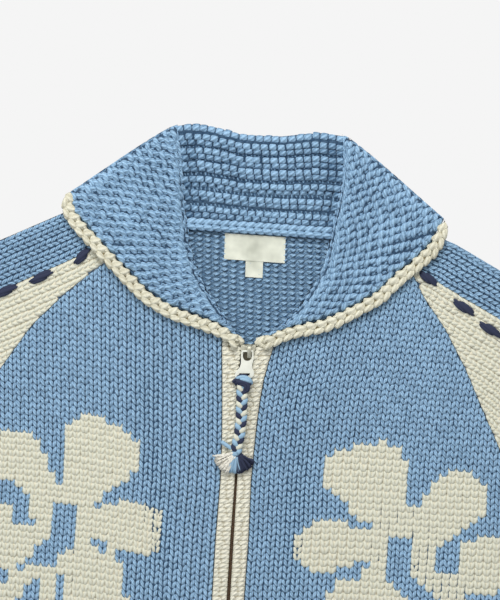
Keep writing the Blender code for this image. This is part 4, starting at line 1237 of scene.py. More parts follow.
@dataclass
class Front:
    """A stockinette front with a knitted-in flower."""

    half: Half
    columns: int = 40
    rows: Tuple[int, int] = (-84, 24)
    row_pitch: float = 6.1
    near_pitch: float = 9.1
    far_pitch: float = 8.05
    rise: Table = ((0, 0.26), (70, 0.26), (100, 0.18), (150, 0.12), (200, 0.085), (300, 0.07))
    level_from: float = 200.0
    level_over: float = 260.0
    hem_rise: float = 0.056
    top_lean: float = 0.0
    unevenness: float = 0.22
    cream_tone: float = 0.12

    def lattice(self, column: Array, row: Array) -> Array:
        """Plan of the stitches.

        Args:
            column: count from the zip band, whole or not.
            row: count from the zip's top end, upward.
        Returns:
            Points (n, 2).
        """
        counts = np.arange(-1.0, 46.0)
        pitches = self.near_pitch - (self.near_pitch - self.far_pitch) * smooth((counts * 8.8 - 60) / 80)
        away = np.interp(column, counts, np.cumsum(pitches) - pitches[0] * 1.5)
        steps = np.arange(0.0, 400.0, 2.0)
        climb = np.cumsum(np.interp(steps, *np.array(self.rise, float).T)) * 2.0
        base = row * self.row_pitch
        level = smooth((-base - self.level_from) / self.level_over)
        y = base + (1 - level) * np.interp(away, steps, climb) + level * self.hem_rise * away
        top_x = self.half.band_x(np.array(-30.0))
        edge = np.where(y > -20.0, top_x + (y + 30.0) * self.top_lean, self.half.band_x(y))
        return np.column_stack((edge + self.half.sign * (away + 0.4), y))

    def petal(self, plan: Array) -> Array:
        """Which stitches are cream.

        Args:
            plan: stitch middles (n, 2).
        Returns:
            True for cream.
        """
        cream = np.zeros(len(plan), bool)
        for x, y, tip_x, tip_y, root_half, tip_half in PETALS[self.half.name]:
            axis = np.array((tip_x - x, tip_y - y), float)
            length = np.linalg.norm(axis)
            out = (plan - (x, y)) @ axis / length ** 2
            aside = np.abs((plan - (x, y)) @ (axis[1], -axis[0])) / length
            tip = np.clip((out - TIP_FROM) / (1.0 - TIP_FROM), 0.0, 1.0)
            root = np.clip(-out * length / root_half, 0.0, 1.0)
            round_off = (1 - tip ** TIP_SQUARE) ** (1 / TIP_SQUARE) * np.sqrt(1 - root ** 2)
            cream |= (out < 1.0) & (aside < (root_half + (tip_half - root_half) * np.clip(out, 0, 1)) * round_off)
        for x, y, half_x, half_y, slant in SLOTS[self.half.name]:
            away = plan - (x, y)
            cream &= ~((np.abs(away[:, 0] - slant * away[:, 1]) < half_x) & (np.abs(away[:, 1]) < half_y))
        return cream

    def build(self) -> None:
        """Lay the ground and the stitches."""
        half, panel = self.half, "front_" + self.half.name
        columns, rows = np.meshgrid(np.arange(0.0, self.columns), np.arange(*map(float, self.rows)))
        columns, rows = columns.ravel(), rows.ravel()
        plan = self.lattice(columns, rows)
        outline = half.front_outline()
        kept = (outline.depth(plan) > -1.8) & (half.cover().depth(plan) < HIDDEN)
        columns, rows, plan = columns[kept], rows[kept], plan[kept]
        wale = self.lattice(columns, rows + 0.5) - self.lattice(columns, rows - 0.5)
        course = self.lattice(columns + 0.5, rows) - self.lattice(columns - 0.5, rows)
        cream = self.petal(plan)
        # Painted light: the blue grows paler toward the hem
        tone = random_tone(len(plan), 0.70) + 0.06 * smooth((-120.0 - plan[:, 1]) / 120.0) + self.cream_tone * cream
        jitter = np.random.default_rng(SEED).normal(0.0, self.unevenness, (len(plan), 3))
        place = raised(plan, FRONT_TOP + CROWN + crease_height(plan)) + jitter * (1.0, 1.0, 0.6)
        ground = shell("ground_" + panel, panel, Yarn.GROUND, lowered(GROUND_DROP, FACE))
        pieces = Stitches(place, raised(wale), raised(course), upright(len(plan)), tone).knit(panel, cream, outline)


@dataclass
class Sleeve:
    """A raglan sleeve folded along the shoulder, blue over the saddle and cream below its running stitches."""

    half: Half
    saddle: float = 46.0
    first_column: float = -9.0
    last_column: float = 150.0
    fan: float = 0.2
    row_pitch: float = 6.25
    column_pitch: float = 8.0
    cream_end: float = 330.0
    fold_arc: float = 8.8
    fold_width: float = 6.0
    unevenness: float = 0.2

    def __post_init__(self) -> None:
        """Work out the fold's line."""
        self.seam, self.fold = self.half.sleeve_lines()
        self.line = along_curve(self.fold, np.arange(0.0, len(self.fold) - 1 + 0.01, 0.125))
        self.reach = lengths(self.line)
        self.outline = Outline(np.concatenate((self.seam, self.fold[::-1])))

    def point(self, along: Array, around: Array) -> Array:
        """Place on the sleeve's upper face.

        Args:
            along: distance down the fold.
            around: distance round from the middle of the fold.
        Returns:
            Points (n, 3).
        """
        base, ahead, behind = (between(along + step, self.reach, self.line) for step in (0, 9, -9))
        tangent = unit(ahead - behind)
        inward = turned(tangent) * -self.half.sign
        angle = np.clip(around / self.fold_arc, -1.0, 1.0) * math.pi / 2
        flat = np.maximum(around - self.fold_arc, 0.0)
        depth = self.fold_width * (1.0 - np.cos(angle)) + flat * (1.0 + self.fan * smooth(along / 160.0))
        lift = 2.4 * smooth((along - 110.0) / 120.0) * np.exp(-((depth - 18.0) / 26.0) ** 2)
        height = FRONT_TOP / 2 * (1.0 + np.sin(angle)) + np.where(around > 0, lift, 0.0)
        return raised(base + inward * depth[:, None], height)

    def build(self) -> None:
        """Lay the ground and the stitches."""
        panel = "sleeve_" + self.half.name
        along, around = np.meshgrid(np.arange(0.0, self.reach[-1], self.row_pitch),
                                    np.arange(self.first_column, self.last_column, self.column_pitch))
        along, around = along.ravel(), around.ravel()
        place = self.point(along, around)
        kept = (self.outline.depth(place[:, :2]) > -2.0) | (around < 9.0)
        kept &= self.half.cover().depth(place[:, :2]) < HIDDEN
        along, around, place = along[kept], around[kept], place[kept]
        wale = (self.point(along - 3.0, around) - self.point(along + 3.0, around)) * self.row_pitch / 6.0
        course = (self.point(along, around + 3.0) - self.point(along, around - 3.0)) * self.column_pitch / 6.0
        normal = unit(np.cross(wale, course)) * self.half.sign * -1.0
        normal *= np.where(normal[:, 2:3] < -0.3, -1.0, 1.0)
        place = place + normal * CROWN
        place[:, 2] += np.where(around > 9.0, crease_height(place[:, :2]), 0.0)
        place += np.random.default_rng(SEED).normal(0.0, self.unevenness, place.shape)
        cream = (around > self.saddle) & (along < self.cream_end)
        ground = shell("ground_" + panel, panel, Yarn.GROUND, self.shrink)
        stitches = Stitches(place, wale, course, normal, random_tone(len(place)))
        pieces = [*stitches.knit(panel, cream, self.outline), self.running_stitches()]

    def shrink(self, points: Array) -> Array:
        """Lower the ground under the stitches and pull it in along the fold.

        Args:
            points: the ground's points (n, 3).
        Returns:
            The points, moved.
        """
        top = points[:, 2] > FACE
        points[top, 2] += crease_height(points[top, :2]) - GROUND_DROP
        fold, _ = Outline(self.fold).nearest(points[:, :2])
        edge = (points[:, 2] > 0.3) & ~top & (np.abs(self.outline.depth(points[:, :2])) < 4.0)
        edge &= np.linalg.norm(points[:, :2] - fold, axis=1) < 4.0
        middle = np.array((self.seam, self.fold)).mean(axis=(0, 1))
        points[edge, :2] += unit(middle - points[edge, :2]) * 1.3
        return points

    def running_stitches(self) -> Piece:
        """Long slanted stitches of thick yarn along the saddle line.

        Returns:
            The piece.
        """
        table = np.array(RUNNING[self.half.name], float)
        first = table[:, :2]
        stride = np.linalg.norm(first[1] - first[0])
        start = self.reach[np.linalg.norm(self.line - first[-1], axis=1).argmin()]
        more = np.arange(start + stride, self.cream_end, stride)
        plan = np.concatenate((first, self.point(more, np.full(len(more), self.saddle + 1.0))[:, :2]))
        line = np.full(len(more), self.saddle)
        bearing = np.radians(table[:, 2])
        tangent = np.concatenate((np.column_stack((np.cos(bearing), np.sin(bearing))) * table[:, 3:],
                                  unit(self.point(more + 8, line) - self.point(more - 8, line))[:, :2]))
        side = unit(turned(tangent))
        lumps = Lumps("running_stitches_" + self.half.name, 10, 10, 0.0)
        top = raised(plan, FRONT_TOP + 0.9 + crease_height(plan))
        for shift, slip, reach, rise in ((-2.2, -2.6, 9.5, 0.0), (0.0, 0.0, 13.6, 0.7), (2.2, 2.6, 9.5, 0.0)):
            lumps.lay(top + raised(side * shift + tangent * slip, rise), raised(tangent * reach), upright(len(plan)),
                      2.6, 2.0, 1.8, tone=0.35)
        return settle(lumps.build(Yarn.NAVY))


@dataclass
class Collar:
    """Shawl collar: moss-stitch falls, garter stand and the chain that covers the neck seam.

    A grain of the fall is its turn, slide along the row, climb above it, half length, half width, tone and sink; sunk
    grains take a lower tone as painted shade.
    A course of the stand is the heights of its rows, the half width and sink of its lumps, and their shift.
    """

    left: Half
    right: Half
    grain_pitch: float = 11.7
    line_pitch: float = 7.5
    grain_height: float = 2.5
    grain_slip: float = 0.42
    unevenness: float = 0.4
    turn_spread: float = 0.14
    size_spread: Tuple[float, float] = (0.92, 1.08)
    grains: Table = (
        (50, 0.0, -0.2, 5.5, 3.0, 0.05, 0.0), (14, 5.8, 0.7, 4.7, 2.85, -0.03, 0.25),
        (24, 6.3, -2.9, 3.3, 1.9, -0.16, 1.7))
    selvage_pitch: float = 8.2
    bump_pitch: float = 8.3
    ridges: Tuple[float, ...] = (0.967, 0.886, 0.760, 0.625, 0.45, 0.2955, 0.132)
    hollows: Tuple[float, ...] = (0.833, 0.696, 0.567, 0.388, 0.235, 0.055)
    rim: Tuple[float, ...] = (0.982,)
    chain_pitch: float = 8.6

    def build(self) -> None:
        """Lay the ground, the falls' grains, the stand's ridges and the chain."""
        top = Top("collar")
        ground = shell("ground_collar", "collar", Yarn.GROUND, self.sink, 30.0, 0.5)
        pieces = [self.fall(half, top) for half in (self.left, self.right)]
        pieces.append(self.stand(top))
        self.chain()

    def sink(self, points: Array) -> Array:
        """Lower the upper face under the yarn."""
        points[:, 2] -= GROUND_DROP * smooth((points[:, 2] - 4.0) / 6.0)
        return points

    def fall(self, half: Half, top: Top) -> Piece:
        """Moss-stitch grains of one fall.

        Args:
            half: the fall's half.
            top: the collar's upper face.
        Returns:
            The piece.
        """
        lumps = Lumps("grains_fall_" + half.name, 7, 6, 0.35)
        generator = np.random.default_rng(SEED)
        rows = np.arange(-2.0, TOP_ROW + 4.01, 0.05)
        kept = np.clip(rows, 0.0, TOP_ROW)
        spine = (half.roll(kept) + half.edge(kept)) / 2
        spine = spine + unit(spine[45] - spine[40]) * (np.minimum(rows, 0.0) * 20.0)[:, None]
        spine = spine + half.above * (np.maximum(rows - TOP_ROW, 0.0) * 20.0)[:, None]
        ahead = directions(spine)
        lean = np.radians(np.interp(rows, *np.array(GRAIN_LEAN[half.name], float).T))
        outward = np.column_stack((half.sign * np.cos(lean), -np.sin(lean)))
        steps = np.linalg.norm(np.gradient(spine, axis=0), axis=1) * np.abs(
            ahead[:, 0] * outward[:, 1] - ahead[:, 1] * outward[:, 0])
        count = np.cumsum(steps) / self.line_pitch
        outline = self.fall_outline(half)
        for line in range(int(count[-1])):
            middle, away = between(line, count, spine), unit(between(line, count, outward))
            upward = turned(away) * half.sign
            for order, (turn, slide, climb, long, wide, shade, sink) in enumerate(self.grains):
                reach = (np.arange(-16, 17) + (-self.grain_slip * line) % 1.0) * self.grain_pitch - slide
                plan = middle + away * reach[:, None] + upward * climb
                plan = plan + generator.normal(0.0, self.unevenness, plan.shape)
                inside = outline.depth(plan) > -4.6
                plan, reach = plan[inside], reach[inside]
                if not len(plan):
                    continue
                angle = math.radians(turn) + generator.normal(0.0, self.turn_spread, len(plan))
                along = raised(away * np.cos(angle)[:, None] + upward * np.sin(angle)[:, None])
                normal = top.normal(plan)
                along = unit(along - normal * np.sum(along * normal, axis=1, keepdims=True))
                spread = (1.0 + 0.0012 * reach) * generator.uniform(*self.size_spread, len(plan))
                centre = raised(plan, top.height(plan) + 0.9) - normal * (self.grain_height + sink)
                lumps.lay(centre, along * (long * spread)[:, None], normal, wide * spread, self.grain_height, 0.9,
                          0.9 * half.sign * (1 - 2 * (order % 2)), -0.4, random_tone(len(plan)) + shade)
        self.selvages(half, top, lumps)
        return settle(lumps.build(Yarn.BLUE, outline, 0.1))

    def selvages(self, half: Half, top: Top, lumps: Lumps) -> None:
        """Lines of yarn along the fall's roll, its edge and its top.

        Args:
            half: the fall's half.
            top: the collar's upper face.
            lumps: where they go.
        """
        rows = np.arange(0.3, TOP_ROW - 0.2, 0.05)
        across = half.outward(rows)
        lines = [half.roll(rows) + across * 0.9 + across * inset for inset in (-0.8, 2.8)]
        lines.append(half.edge(rows) + across * 0.2)
        depths = np.linspace(0.02, 0.98, 60) * half.width(TOP_ROW)
        lines.append(np.array([half.fall_plan(TOP_ROW, depth) for depth in depths]) - half.above * 0.9)
        for order, line in enumerate(lines):
            plan, at = spaced(line, self.selvage_pitch, order * 2.7)
            tangent = unit(raised(between(at + 2, np.linspace(0, at[-1] + 4.7, len(line)), line) - plan))
            normal = top.normal(plan, 1.5)
            lumps.lay(raised(plan, top.height(plan) + 0.5) - normal * 1.9, tangent * 5.0, normal, 2.3, 2.0, 0.7, 0.6,
                      0.8, random_tone(len(plan), 0.58 - 0.06 * order))

    def fall_outline(self, half: Half) -> Outline:
        """Outline of a fall, just past its roll line.

        Args:
            half: the fall's half.
        Returns:
            The outline.
        """
        rows = np.arange(0.0, TOP_ROW + 0.01, 0.25)
        across = half.outward(rows)
        past = half.roll(rows) - across * np.interp(rows, (TOP_ROW - 1.5, TOP_ROW), (2.3, 0.2))[:, None]
        edges = half.edge(rows) + across * 1.5
        above = half.above * 1.1
        past[-1], edges[-1] = past[-1] + above, edges[-1] + above
        width = float(np.linalg.norm(edges[-1] - half.roll(rows)[-1]))
        bow = [half.fall_plan(TOP_ROW, depth) + above * 0.7 for depth in np.linspace(0.05, 0.9, 12) * width]
        return Outline(np.concatenate((past, bow, edges[::-1])))

    def stand_plan(self, share: float, height: float) -> Array:
        """Plan of the stand.

        Args:
            share: 0 at the left roll line and 1 at the right.
            height: 0 at the neck seam and 1 at the top edge.
        Returns:
            The point.
        """
        row = float(NECK_ROW + np.interp(height, STAND_HEIGHTS, range(len(STAND_HEIGHTS))))
        edge = np.array(TOP_EDGE, float)

        def top_edge(at: float) -> Array:
            """Rolled top edge at a share."""
            x = edge[0, 0] + (edge[-1, 0] - edge[0, 0]) * at
            return np.array((x, np.interp(x, edge[:, 0], edge[:, 1])))

        neck = self.left.roll(NECK_ROW) * (1 - share) + self.right.roll(NECK_ROW) * share
        place = neck + (top_edge(share) - neck) * height
        for half, weight, corner in ((self.left, 1.0 - share, 0.0), (self.right, share, 1.0)):
            base = half.roll(NECK_ROW)
            straight = base + (top_edge(corner) - base) * height
            place = place + (half.roll(row) - straight) * weight
        return place

    def stand(self, top: Top) -> Piece:
        """Garter ridges of the stand: a row of crowns, a lower row of feet for each, and links between.

        Args:
            top: the collar's upper face.
        Returns:
            The piece.
        """
        lumps = Lumps("ridges_stand", 8, 6, 0.2, 0.48)
        shares = np.linspace(0.0, 1.0, 60)
        generator = np.random.default_rng(SEED + 1)
        for heights, half_width, sink, offset in ((self.ridges, 3.3, 0.0, 0.0), (self.hollows, 2.95, 0.5, 0.5),
                                                  (self.rim, 2.3, 1.01, 0.5)):
            for height in heights:
                ends = 0.04 if sink > 1.0 else 0.0
                line = np.array([self.stand_plan(share, height) for share in np.clip(shares, ends, 1.0 - ends)])
                plan, steps = spaced(line, self.bump_pitch, -2.0 + 4.0 * offset, -1.0)
                # Painted shade: lumps grow darker toward the stand's ends, where the falls overhang it, below the top
                # rows; sunk lumps are darker by their sink
                shade = 0.26 * (1.0 - smooth((np.minimum(steps, steps[-1] - steps) - 3.0) / 20.0)) * (height < 0.95)
                tangent = unit(between(steps, np.linspace(0, steps[-1], len(line)), directions(line)))
                plan = plan + generator.normal(0.0, 0.35, plan.shape)
                lean = 0.25 if height > 0.95 else 0.12 - 0.24 * (offset > 0)
                normal = unit(np.tile((0.0, lean, 1.0), (len(plan), 1)))
                rise = np.maximum(top.height(plan, 10.0), 9.0) + 0.9 - sink
                along = raised(tangent * generator.uniform(3.6, 4.0, (len(plan), 1)))
                lumps.lay(raised(plan, rise) - normal * 2.5, along, normal,
                          half_width * generator.uniform(0.93, 1.07, len(plan)), 2.5, 0.6,
                          tone=random_tone(len(plan), 0.64) - sink * 0.34 - shade)
        # Links lie deep between the ridges, with a low tone as painted shade
        for foot, crown in zip(self.hollows, self.ridges[2:]):
            plan, _ = spaced(np.array([self.stand_plan(share, (foot + crown) / 2) for share in shares]),
                             self.bump_pitch / 2)
            plan = plan + generator.normal(0.0, 0.4, plan.shape)
            lean = generator.normal(0.0, 0.9, (len(plan), 1))
            along = np.column_stack((lean, np.full((len(plan), 2), (4.2, 0.0))))
            lumps.lay(raised(plan, np.maximum(top.height(plan, 10.0), 9.0) - 2.9), along, upright(len(plan)),
                      1.6, 1.4, tone=random_tone(len(plan), 0.14))
        return settle(lumps.build(Yarn.BLUE))

    def chain(self) -> None:
        """Lay the chain of loops that covers the back neck seam."""
        start, end = self.left.roll(NECK_ROW), self.right.roll(NECK_ROW)
        along = unit(end - start)
        down = -turned(along)
        steps = np.linspace(0.0, 1.0, 40)[:, None]
        plan, _ = spaced(start + along * 1.6 + (end - start - along * 3.6) * steps + down * 4.2, self.chain_pitch)
        count = len(plan)
        lumps = Lumps("chain_neck", 8, 6)
        wale, course = (raised(np.tile(way, (count, 1))) for way in (along * 8.0, -down * 10.6))
        Stitches(raised(plan, 11.2), wale, course,
                 upright(count), random_tone(count, 0.70)).lay(lumps, 3.4, 2.6, 0.8)
        chain = settle(lumps.build(Yarn.BLUE))
        ground = shell("ground_chain", "neck_chain", Yarn.GROUND, flattened(0.3, 5.3))


@dataclass
class Edging:
    """Thick chain of cream yarn along the fall's edge, turned down round its tip.

    A link is its shift ahead and aside, in chain pitches and widths, its turn, half length, half width and sink.
    A toe, at the chain's lower end, is its x, y, heading and half length.
    """

    half: Half
    pitch: float = 10.7
    links: Table = (
        (0.0, -0.20, -30.0, 5.7, 4.0, 0.0), (0.42, 0.26, 7.0, 6.3, 3.2, 0.1), (0.40, -0.32, 10.0, 3.4, 2.2, 1.0))
    thickness: float = 3.3
    toes: Table = (
        (-3.4, 5.4, 0.71, -0.71, 5.6), (-7.4, 2.8, 0.4, -0.92, 4.4),
        (17.2, 4.6, 0.81, 0.58, 6.6), (20.6, 1.4, 0.95, 0.30, 5.0))

    def build(self) -> None:
        """Lay the ground and the chain."""
        half, name = self.half, self.half.name
        ends = [half.edge(row) + (tip - half.edge(row)) * 0.5
                for row, tip in zip((SHOULDER_ROW, TOP_ROW - 0.4, TOP_ROW), np.array(EDGING_TIP[name]))]
        start = np.array(EDGING_START[name]).mean(axis=0)
        line = np.vstack((start, half.edging_line(0.5, 0.25, SHOULDER_ROW - 0.5), ends))
        plan, steps = spaced(line, self.pitch, 0.5, 0.5)
        reach = lengths(line)
        tangent = unit(between(steps + 3, reach, line) - between(steps - 3, reach, line))
        width = 9.6 + 2.6 * smooth(steps / 30.0) - 3.0 * smooth((steps - steps[-1] + 18) / 18)
        outward = turned(tangent) * -half.sign
        height = Top("edging_" + name).height(plan, 14.0) + 0.7
        height = np.convolve(np.pad(height, 1, "edge"), (0.25, 0.5, 0.25), "valid")
        slope = np.gradient(height, steps)
        normal = unit(raised(-tangent * slope[:, None], 1.0))
        wale = raised(-tangent * self.pitch, -slope * self.pitch)
        course = raised(outward * width[:, None])
        lumps = Lumps("chain_edging_" + name, 10, 8, 0.2, 0.62)
        generator = np.random.default_rng(SEED + 4)
        for ahead, aside, turn, long, half_width, sink in self.links:
            angle = np.radians(turn + generator.normal(0.0, 5.0, len(plan)))[:, None]
            along = unit(wale) * np.cos(angle) + unit(course) * np.sin(angle)
            place = raised(plan, height) + wale * ahead + course * aside
            place = place + raised(generator.normal(0.0, 0.3, plan.shape)) - normal * (self.thickness + sink)
            along = along * (long * generator.uniform(0.94, 1.08, (len(plan), 1)))
            # Sunk links take a lower tone, as painted shade
            lumps.lay(place, along, normal, half_width, self.thickness, 1.0, 0.5 * half.sign, 0.5,
                      random_tone(len(plan), 0.66) - 0.1 * sink)
        toes = np.array([toe for toe in self.toes if (toe[0] - HINGE[0]) * half.sign > 0.0])
        lumps.lay(raised(toes[:, :2], BAND_TOP - 0.6), raised(toes[:, 2:4] * toes[:, 4:]), upright(len(toes)),
                  3.3, 2.6, 0.5, 0.4, tone=random_tone(len(toes), 0.66))
        ground = shell("ground_edging_" + name, "edging_" + name, Yarn.HOLLOW,
                       flattened(0.30, FALL_BASE), inset=1.2)
        chain = settle(lumps.build(Yarn.EDGE))


@dataclass
class Bands:
    """Narrow cream bands beside the zip, with their ribs across."""

    half: Half
    pitch: float = 4.62
    top: float = 5.5
    grip: float = 1.3
    rib_half: float = 3.0
    rib_height: float = 1.6

    def build(self) -> None:
        """Lay the ground and the ribs."""
        half, name = self.half, self.half.name
        heights = np.arange(self.top, BANDS[-1, 0] + 1.0, -self.pitch)
        count = len(heights)
        outer, inner = half.band_x(heights), self.inner(heights)
        lumps = Lumps("ribs_band_" + name, 7, 6)
        generator = np.random.default_rng(SEED + 2)
        split = 0.5 + generator.uniform(-0.22, 0.22, count)
        rise = np.where(heights > -3.0, BAND_TOP - 3.2, BAND_TOP - 1.7)
        beat = 0.05 * (np.arange(count) % 2)
        for low, high in ((np.zeros(count), split), (split, np.ones(count))):
            plan = np.column_stack((inner + (outer - inner) * (low + high) / 2,
                                    heights + generator.normal(0.0, 0.18, count)))
            reach = np.abs(outer - inner) * (high - low) / 2 + 0.8
            along = np.column_stack((half.sign * reach, reach * 0.05, np.zeros(count)))
            lumps.lay(raised(plan, rise + beat * 4.0), along, upright(count), self.rib_half, self.rib_height, 0.3,
                      tone=random_tone(count, 0.70) + beat)
        ground = shell("ground_band_" + name, "zip_band_" + name, Yarn.PALE_GROUND, lowered(0.9, FACE))
        ribs = settle(lumps.build(Yarn.RIB, self.outline(), 0.1))

    def inner(self, heights: Array) -> Array:
        """Inner side of the ribs, which close round the slider."""
        close = self.grip * smooth((np.asarray(heights) + 24.0) / 6.0)
        return self.half.band_x(heights, False) - self.half.sign * close

    def outline(self) -> Outline:
        """Outline of the band."""
        rows = np.concatenate(((8.0, 2.0, -4.0, -10.0, -16.0), BANDS[BANDS[:, 0] < -18.0, 0]))
        return Outline(np.concatenate((np.column_stack((self.half.band_x(rows), rows)),
                                       np.column_stack((self.inner(rows), rows))[::-1])))


@dataclass
class Inside:
    """The back: its purl side shows in the neck opening, the rest lies hidden."""

    left: Half
    right: Half
    column: float = 8.5
    row: float = 5.4
    middle: float = 16.0
    slope: float = -0.105
    loop_half: float = 1.75
    loop_height: float = 1.7

    def build(self) -> None:
        """Lay the ground and the purl loops: a row of crowns, and a lower row between, darker with painted shade."""
        rows, columns = np.meshgrid(np.arange(-8, 32), np.arange(-14, 18))
        rows, columns = rows.ravel().astype(float), columns.ravel().astype(float)
        x = columns * self.column + self.middle
        opening = Outline(np.concatenate((self.left.roll(np.arange(0.0, NECK_ROW + 0.1, 0.5)),
                                          self.right.roll(np.arange(NECK_ROW, -0.1, -0.5)))))
        lumps = Lumps("loops_inside", 6, 6)
        generator = np.random.default_rng(SEED + 3)
        for shift, rise, level, bend, tone in ((0.0, 0.0, 0.0, -1.2, 0.62), (0.5, -0.42, -1.2, 1.2, 0.12)):
            plan = np.column_stack((x + shift * self.column, rows * self.row + rise * self.row))
            aside = plan[:, 0] - self.middle
            plan[:, 1] += aside * self.slope + 2.4 * smooth(np.abs(aside) / 70)
            plan = plan + generator.normal(0.0, 0.22, plan.shape)
            plan = plan[opening.depth(plan) > -5.0]
            along = raised(np.tile(unit(np.array((1.0, self.slope + 0.12))) * 3.5, (len(plan), 1)))
            lumps.lay(raised(plan, WALL + 0.25 + level - 0.9), along, upright(len(plan)), self.loop_half,
                      self.loop_height, 0.45, bend, tone=random_tone(len(plan), tone))
        ground = shell("ground_back", "back", Yarn.GROUND, self.sink)
        loops = settle(lumps.build(Yarn.BLUE))

    def sink(self, points: Array) -> Array:
        """Lower the upper face in the neck opening, where the loops stand on it."""
        points[:, 2] = np.where(points[:, 2] > 4.5, points[:, 2] - 0.9, points[:, 2])
        return points


@dataclass
class Ribs:
    """Ribbed hems and cuffs."""

    half: Half
    rows: int = 10
    leg: Tuple[float, float] = (2.1, 1.9)

    def hem(self) -> None:
        """Lay the front hem rib."""
        half, name = self.half, self.half.name
        upper_y, lower_y = SIDES[-1][0], HEM_BOTTOM[0]
        corners = [half.body_edge(SIDES[-1]), np.array((half.band_x(upper_y), upper_y)), half.body_edge(HEM_BOTTOM),
                   np.array((half.band_x(lower_y), lower_y))]
        rib, row = np.meshgrid((np.arange(HEM_RIBS) + 0.5) / HEM_RIBS, (np.arange(self.rows) + 0.5) / self.rows)
        rib, row = rib.ravel()[:, None], row.ravel()[:, None]

        def spot(share: Array, down: Array) -> Array:
            """Plan of a share across and down."""
            upper = corners[0] * (1 - share) + corners[1] * share
            lower = corners[2] * (1 - share) + corners[3] * share
            return upper * (1 - down) + lower * down

        plan = spot(rib, row)
        wale = (spot(rib, row - 0.01) - spot(rib, row + 0.01)) / 0.02 / self.rows
        course = (spot(rib + 0.01, row) - spot(rib - 0.01, row)) / 0.02 / HEM_RIBS * 0.72
        outline = Outline((corners[0], corners[1], corners[3], corners[2]))
        self.lay("hem_" + name, Stitches(raised(plan, FRONT_TOP + CROWN), raised(wale), raised(course),
                                         upright(len(plan)), random_tone(len(plan))), lowered(1.2, 8.0), outline)

    def cuff(self) -> None:
        """Lay the cuff rib."""
        half, name = self.half, self.half.name
        seams, folds = half.sleeve_lines()
        _, bearing, last_half = SLEEVE[name][-1]
        along, across = half.down_sleeve(bearing)
        rib, row = np.meshgrid((np.arange(CUFF_RIBS) + 0.5) / CUFF_RIBS, np.arange(self.rows) + 0.5)
        rib, row = rib.ravel(), row.ravel() / self.rows * CUFF_LENGTH
        half_width = np.interp(row, (0.3, 12.0, CUFF_LENGTH), (last_half, CUFF_HALF_WIDTH, CUFF_HALF_WIDTH))
        share = 1.0 - 0.88 * rib
        plan = (seams[-1] + folds[-1]) / 2 + along * row[:, None]
        plan = plan + across * (half_width * (1.0 - 2.0 * share))[:, None]
        count = len(plan)
        wale = raised(np.tile(-along * CUFF_LENGTH / self.rows, (count, 1)))
        course = raised(across * (half_width * 0.128)[:, None])
        self.lay("cuff_" + name, Stitches(raised(plan, FRONT_TOP + 0.9), wale, course, upright(count),
                                          random_tone(count)), lowered(1.0, 8.0))

    def lay(self, node: str, stitches: Stitches, shape: Callable[[Array], Array],
            outline: Optional[Outline] = None) -> None:
        """Lay a rib's ground and stitches.

        Args:
            node: its solid.
            stitches: of the rib.
            shape: lowers the ground.
            outline: seam that the stitches stay inside.
        """
        lumps = Lumps("ribs_" + node)
        stitches.lay(lumps, *self.leg)
        ground = shell("ground_" + node, node, Yarn.GROUND, shape)
        ribs = settle(lumps.build(Yarn.BLUE, outline, 0.2))


@dataclass
class Zip:
    """Tapes, coil, slider and stop, and the hidden hem at the back."""

    coil_pitch: float = 2.1
    coil_height: float = 7.3
    edge_round: float = 0.35

    def build(self) -> None:
        """Make the zip and the back's hem."""
        for name in ("left", "right"):
            tape = shell("tape_" + name, "zip_tape_" + name, Yarn.TAPE)
        self.coil()
        for node, finish in (("zip_slider", Yarn.CAST), ("zip_stop", Yarn.NICKEL)):
            rounded(node + "_metal", node, self.edge_round, finish)
        hem_back = shell("ground_hem_back", "hem_back", Yarn.GROUND)

    def coil(self) -> None:
        """Lay the closed zip's coil, a small loop on each tape in turn."""
        heights = np.arange(-22.0, -480.0, -self.coil_pitch)
        middle = between(-heights, -BANDS[:, 0], BANDS[:, 2:4]).sum(axis=1) / 2
        lumps = Lumps("zip_coil", 6, 4)
        count = len(heights)
        for side in (-1.0, 1.0):
            plan = np.column_stack((middle + side * 0.75, heights + side * self.coil_pitch / 4))
            lumps.lay(raised(plan, self.coil_height), np.tile((1.5, 0.35 * side, 0.0), (count, 1)), upright(count),
                      0.75, 1.0, 0.3, tone=random_tone(count, 0.55))
        settle(lumps.build(Yarn.BROWN))


